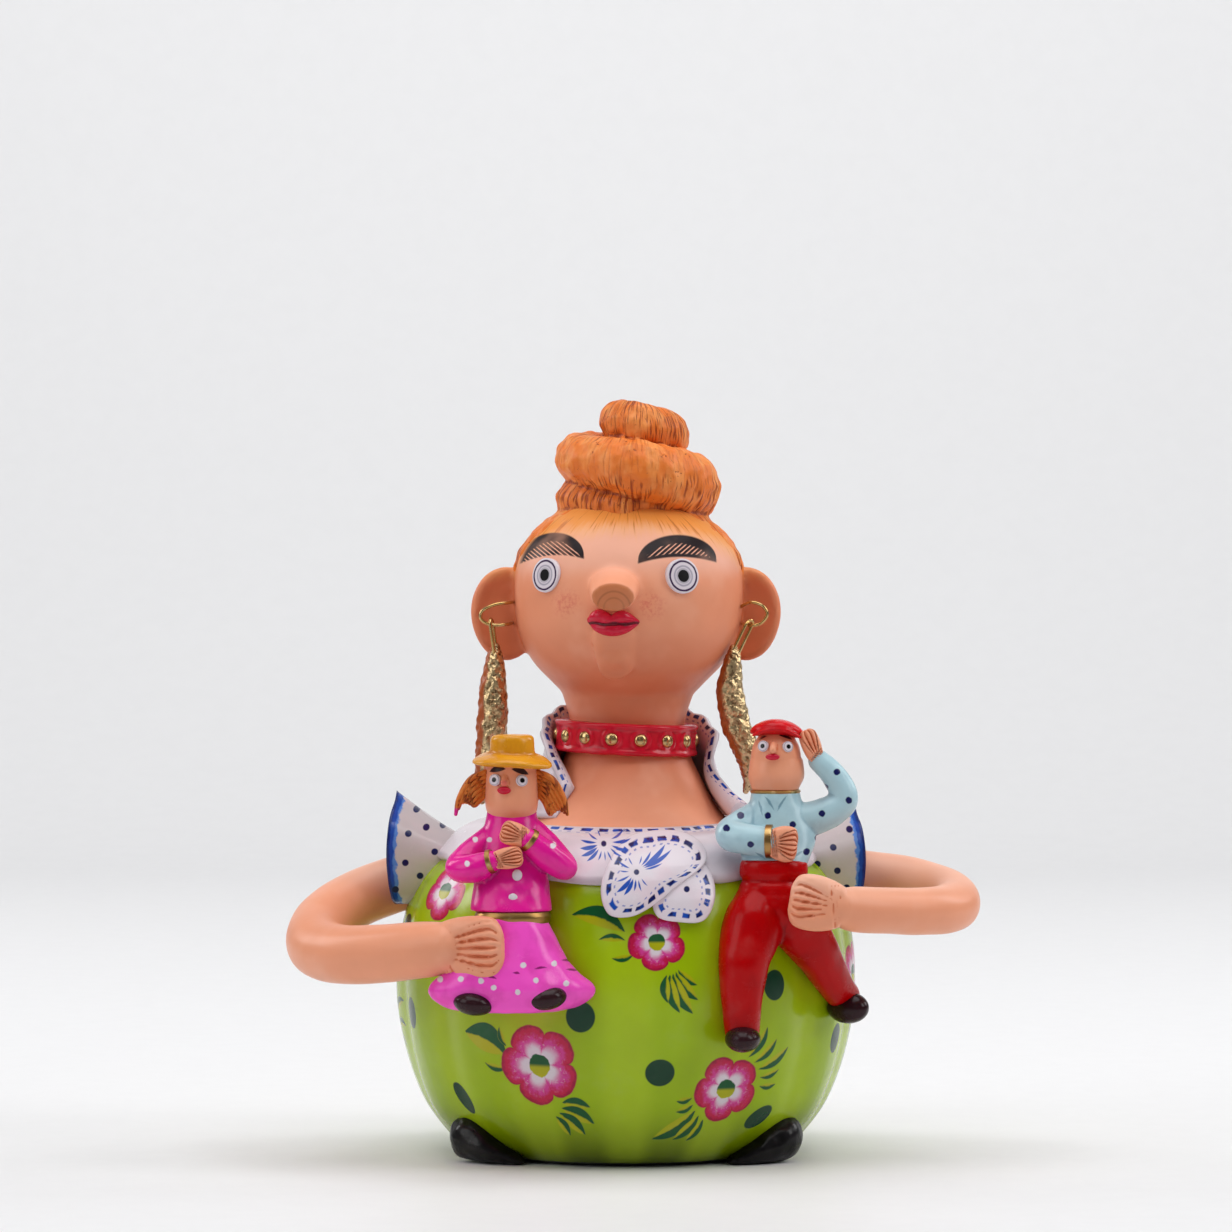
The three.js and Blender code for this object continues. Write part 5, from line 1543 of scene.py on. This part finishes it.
def man_piece():
    x = MAN_X
    trousers = [
        ball((48.8, -63.6, 88.2), (12.3, 9, 9.6)),
        column([(49.6, -61, 104.6, 10.6, 8.2), (49.6, -61, 103.4, 11.3, 8.8), (49.6, -61.2, 99.8, 11.5, 8.9),
                (49.4, -61.5, 97.6, 10.4, 8), (49.2, -62, 95.4, 11.4, 8.8), (49.2, -62.5, 90, 11.4, 8.6)], 60),
        tube([(44.8, -63, 88.5, 9.4), (42.4, -66.6, 82, 10.4), (39.6, -71, 72, 8.9), (38.6, -72.2, 58, 7),
              (38.8, -72, 47.5, 5.9)], 40, 70, up=(0, -1, 0)),
        tube([(53.5, -61, 88.5, 9.4), (58, -61, 82, 9.6), (63.8, -56.5, 73.6, 8), (70.4, -46.5, 62, 6.2),
              (74, -40, 57, 5.6)], 40, 70, up=(0, -1, 0)),
    ]
    shirt = [
        column([(x - 0.6, -51.5, 127.2, 8.2, 7.8), (x - 0.4, -51.8, 124, 8.8, 8.2), (x, -52.5, 121.5, 10.2, 8),
                (x, -56, 112, 13, 8.2), (x - 0.8, -60, 104, 11.2, 8.6), (x - 1.2, -60.5, 102.4, 10.6, 8.2)], 60),
        tube([(44, -52, 119.6, 4.4), (39, -56, 116, 5.2), (35.2, -60, 113, 5.4), (40.4, -64.5, 111.6, 5.3),
              (47.4, -66.4, 111, 5)], 32, 60),
        tube([(57, -53, 117, 6), (66, -53.8, 119, 5.7), (73.4, -54, 124.2, 4.9), (70.4, -54, 132, 4.4),
              (65, -54, 137.6, 3.7)], 32, 60, up=(0, -1, 0)),
    ]
    skin = [
        ball((50.6, -51.5, 138.5), (8.5, 9, 10)),
        column([(50.4, -51.5, 124, 6.8, 6.4), (50.4, -51.5, 127.8, 7.9, 7.5), (50.7, -51.8, 132.2, 9.5, 9.2),
                (50.8, -51.5, 138, 8.9, 8.8)], 48),
        tube([(49.6, -59.6, 143.6, 0.9), (49.4, -60.9, 142.4, 1.1), (49.3, -61.6, 141.4, 1.2)], 20, 20),
    ]
    cap = [
        ball((51.0, -51, 147.9), (9.2, 9.8, 3.1), (-6, 3, 0), shape=drooping(0.5)),
        ball((50.8, -56.5, 147.2), (8.6, 4.8, 1.1), (-6, 3, 0), shape=drooping(2.2)),
    ]
    hands = [
        hand_shell((48.4, -68.4, 110.8), (57.4, -68.8, 109.8), 12, 3.2, fingers=6, rows=40, sides=120),
        hand_shell((64.4, -54.8, 137.8), (60.4, -55.6, 148), 6.4, 2.7, fingers=3, rows=40, sides=96),
    ]
    shoes = [
        ball((38.9, -75.5, 45.4), (6, 8.3, 4.5)), ball((75.4, -41.8, 53), (5.8, 8.4, 5.4), (0, -14, 42)),
    ]
    collar_ring = column([(50.4, -51.5, 127.8, 8.0, 7.6), (50.4, -51.5, 127.2, 8.6, 8.2),
                          (50.4, -51.5, 126.4, 8.2, 7.8)], 60, 12)
    cuff = tube([(46.9, -66.5, 111, 5.7), (49, -66.8, 111, 5.7)], 40, 8, ends=(False, False))
    eyes = [eye_shell(spot, 1.85, look, 1.6, 0.4) for spot, look in
            (((46.0, -59.3, 142.7), -26), ((54.5, -59.3, 142.5), 26))]
    mouth = ball((49.2, -60.9, 139.1), (2.4, 1.0, 1.1), across=28, down=18)
    dots = [
        (47.6, 119.4), (56, 116.4), (66, 120.0), (71.8, 114.6), (67, 128.6), (75, 124.4), (33.6, 115.4),
        (41.6, 110.2), (60.6, 107.4), (64.6, 111.6), (38.5, 119.4), (71, 134),
    ]
    lapels = [
        (46.2, 126.2, 50, 120.6, 0.3), (54.6, 126.2, 50.6, 120.4, -0.4), (44.4, 124.6, 45.8, 119, 0.2),
        (42.8, 107.6, 47, 104.6, 0.3), (56, 105.4, 59.6, 107.6, 0.2),
    ]
    blue = paint_dotted("man_shirt_glaze", SHIRT, (128, 166, 184), dots, 1.15, NAVY, lapels, (112, 150, 168))
    red = paint_plain("red_trousers_glaze", TROUSERS, (140, 0, 8), coat=0.15, wash=0.6, gloss=0.12)
    face = paint_small_face("man_skin", [
        ((43.2, 143.8), (47.6, 146), 0.5), ((51.2, 146.3), (56.2, 144.5), 0.5),
    ], 1.0)
    parts = [
        clay_piece("man", trousers, red, 0.66, 2, 0.12, 9, 21),
        clay_piece("shirt", shirt, blue, 0.6, 2, 0.1, 8, 22),
        clay_piece("skin", skin, face, 0.48, 1),
        plain_piece("hands", hands, face),
        clay_piece("cap", cap, paint_plain("red_cap_glaze", CAP, (150, 8, 30), gloss=0.14), 0.5, 1),
        plain_piece("trim", [collar_ring, cuff], paint_gold("gold_trim_man", TRIM_GOLD, 0.34)),
        plain_piece("shoes", shoes, paint_plain("brown_shoe_glaze_man", SHOE_BROWN, (20, 8, 10), brush=0.2, gloss=0.16)),
        plain_piece("eyes", eyes, paint_small_eye("small_eye_man")),
        plain_piece("mouth", [mouth], paint_plain("small_lips_man", LIPS, (120, 8, 30))),
    ]
    return joined("man", parts)


# Earrings

RIGHT_HOOK = [
    (-39, 4, 190), (-40, -4.5, 190), (-45, -7, 189.4), (-49.4, -7.4, 187.4), (-50.2, -7.4, 184.8),
    (-48, -7.2, 182.8), (-44.5, -7, 182.2), (-40.6, -5, 182.6), (-39.4, 4, 182.8),
]
LEFT_HOOK = [
    (39.6, 4, 188.4), (39.6, -5.5, 188.6), (43, -10, 190.2), (47, -11, 189), (48.6, -11, 186),
    (46.4, -10.8, 183), (43.2, -10, 182.2), (40.4, -6.5, 182.6), (40.4, 4, 182.6),
]
LINK_HALF_WIDTH = 2.1
EARRINGS = {
    "right": {
        "hook": RIGHT_HOOK, "top": (-46.4, -7.2, 182.2), "bottom": (-45, -6.6, 172), "aside": (0.2, 1, 0),
        "drop": [(-45, -6.6, 174.5, 1.6), (-45.3, -6.8, 171, 3.2), (-45.8, -8, 161, 5.0, 4.6),
                 (-46.2, -9, 148, 5.6, 5), (-47, -9, 136, 5.4, 5), (-48.6, -7.5, 127, 4.2), (-49.8, -5, 121.5, 1.4)],
    },
    "left": {
        "hook": LEFT_HOOK, "top": (42.2, -9.4, 182.1), "bottom": (37, -11.6, 171.6), "aside": (0.72, 1, 0),
        "drop": [(37, -11.8, 174.2, 1.6), (36.8, -12, 170.4, 3.2), (35.8, -12.4, 160, 5.0, 4.4),
                 (38, -12.6, 148, 5.2, 4.6), (41.8, -12, 138, 4.6, 4.2), (43, -11, 130.5, 3.4), (41.4, -10, 125.2, 1.2)],
    },
}


def link_shell(top, bottom, aside):
    """A long closed loop of wire: two half circles joined by straight strands."""
    top, bottom, aside = np.array(top, float), np.array(bottom, float), unit(np.array(aside, float))
    down = unit(bottom - top)
    turn = np.linspace(0, np.pi, 17)[:, None]
    path = np.concatenate([
        top + LINK_HALF_WIDTH * (aside * np.cos(turn) - down * np.sin(turn)),
        bottom - LINK_HALF_WIDTH * (aside * np.cos(turn) - down * np.sin(turn)),
    ])
    plane = unit(np.cross(aside, down))
    along = unit(np.roll(path, -1, 0) - np.roll(path, 1, 0))
    side = np.cross(along, plane)
    angle = (np.arange(12) / 12 * TURN)[None, :, None]
    rings = path[:, None] + WIRE_RADIUS * (np.cos(angle) * side[:, None] + np.sin(angle) * plane)
    points = np.concatenate([rings, rings[:1]]).reshape(-1, 3)
    return Shell(points, outward(points, grid_faces(len(path) + 1, 12)), {})


def drop_shell(stops):
    """A curved drop with beaten lumps and small stamped dents; its mark says how far round a point is."""
    def beaten(along, around):
        lumps = np.sin(along * 47 + 2 * np.sin(around * 2)) * np.sin(around * 3 + along * 9)
        dents = np.sin(along * 88 + around) * np.sin(around * 6 - along * 20)
        return 0.93 + 0.05 * lumps + 0.055 * dents

    sides = 48
    shell = tube(stops, sides=sides, steps=140, up=(0, -1, 0), shape=beaten)
    around = np.abs(np.arange(sides) / sides - 0.5) * 2
    rings = len(shell.points) // sides
    return Shell(shell.points, shell.faces, {"around": np.tile(around, rings)})


def earring_pieces():
    wire = paint_gold("gold_wire_metal", (196, 160, 100), 0.25)
    gilded = paint_earring()
    made = []
    for side, parts in EARRINGS.items():
        hook = tube([(*spot, WIRE_RADIUS) for spot in parts["hook"]], 12, 110, up=(0.3, 0.1, 1))
        link = link_shell(parts["top"], parts["bottom"], parts["aside"])
        pieces = {
            f"ear_loop_{side}": plain_piece(f"wire_hook_{side}", [hook], wire),
            f"drop_link_{side}": plain_piece(f"wire_link_{side}", [link], wire),
            f"earring_drop_{side}": plain_piece(f"gilded_drop_{side}", [drop_shell(parts["drop"])], gilded),
        }
        for node, piece in pieces.items():
            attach(piece, "root")
            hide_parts(node)
            made.append(piece)
    return made


# Stage: a pale floor that curves up behind, soft lamps and the photograph's point of view


def make_floor():
    """A sheet that runs back flat and then bends up in a quarter circle."""
    half, near, far, bend, high = 2600, -2600, 1500, 700, 2600
    turn = np.linspace(0, np.pi / 2, 20)
    y = np.concatenate([[near, far], far + bend * np.sin(turn), [far + bend]])
    z = np.concatenate([[0, 0], bend * (1 - np.cos(turn)), [high]])
    x = np.array([-half, half], float)
    points = np.stack([
        np.broadcast_to(x, (len(y), 2)), np.broadcast_to(y[:, None], (len(y), 2)),
        np.broadcast_to(z[:, None], (len(y), 2)),
    ], -1).reshape(-1, 3) * MM
    mesh = bpy.data.meshes.new("floor")
    mesh.from_pydata(points.tolist(), [], grid_faces(len(y), 2, closed=False).tolist())
    floor = new_object("floor", mesh)
    smooth_shading(floor)
    paint = Paint("pale_floor", (236, 236, 237), roughness=0.5)
    floor.data.materials.append(paint.done(mottle=0.01, brush=0.0, grain=0.0))


def add_lamp(name, place, aim, size, power, colour=(1, 1, 1)):
    lamp = bpy.data.lights.new(name, "AREA")
    lamp.shape = "RECTANGLE"
    lamp.size, lamp.size_y = size
    lamp.energy = power
    lamp.color = colour
    holder = bpy.data.objects.new(name, lamp)
    ray = Vector(aim) - Vector(place)
    holder.location = place
    holder.rotation_euler = ray.to_track_quat("-Z", "Y").to_euler()
    bpy.context.scene.collection.objects.link(holder)


def make_light_and_camera():
    world = bpy.data.worlds.new("soft room")
    world.use_nodes = True
    world.node_tree.nodes["Background"].inputs[0].default_value = (0.95, 0.96, 1, 1)
    world.node_tree.nodes["Background"].inputs[1].default_value = 0.1
    bpy.context.scene.world = world
    aim = (0, 0, 0.12)
    add_lamp("left window", (-1.0, -0.6, 0.7), aim, (0.7, 0.9), 4.2)
    add_lamp("right window", (1.0, -0.35, 0.8), aim, (0.4, 0.8), 4.4)
    add_lamp("roof light", (0, -0.15, 1.25), aim, (1.1, 1.3), 10.8)
    add_lamp("front fill", (0.1, -1.9, 0.9), aim, (0.6, 0.4), 0.5)
    add_lamp("left wall light", (-1.3, 0.6, 0.9), (0.2, 1.6, 0.5), (0.8, 0.8), 10.5)
    add_lamp("right wall light", (1.3, 0.6, 0.9), (-0.2, 1.6, 0.5), (0.8, 0.8), 10.5)
    add_lamp("wall wash", (0, 1.35, 1.3), (0, 2.05, 0), (1.8, 0.5), 5)
    lens = bpy.data.cameras.new("camera")
    lens.lens = 172
    lens.sensor_width = 36
    lens.clip_end = 30
    camera = bpy.data.objects.new("camera", lens)
    camera.location = (-0.00347, -2.04, 0.228)
    camera.rotation_euler = (math.radians(90 - 1.2), 0, 0)
    bpy.context.scene.collection.objects.link(camera)
    bpy.context.scene.camera = camera
    bpy.context.scene.view_settings.view_transform = "Standard"


make_floor()
make_light_and_camera()
body = [
    dress_piece(), shoes_piece(), head_piece(), eyes_piece(), lips_piece(), hair_piece(), *choker_pieces(),
    *arm_pieces(), blouse_piece(), sleeve_piece(-1, "right", 103, 21, 19),
    sleeve_piece(1, "left", 101, 18, 17), lady_piece(), man_piece(),
]
for piece in body:
    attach(piece, "root")
    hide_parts("figurine")
earring_pieces()
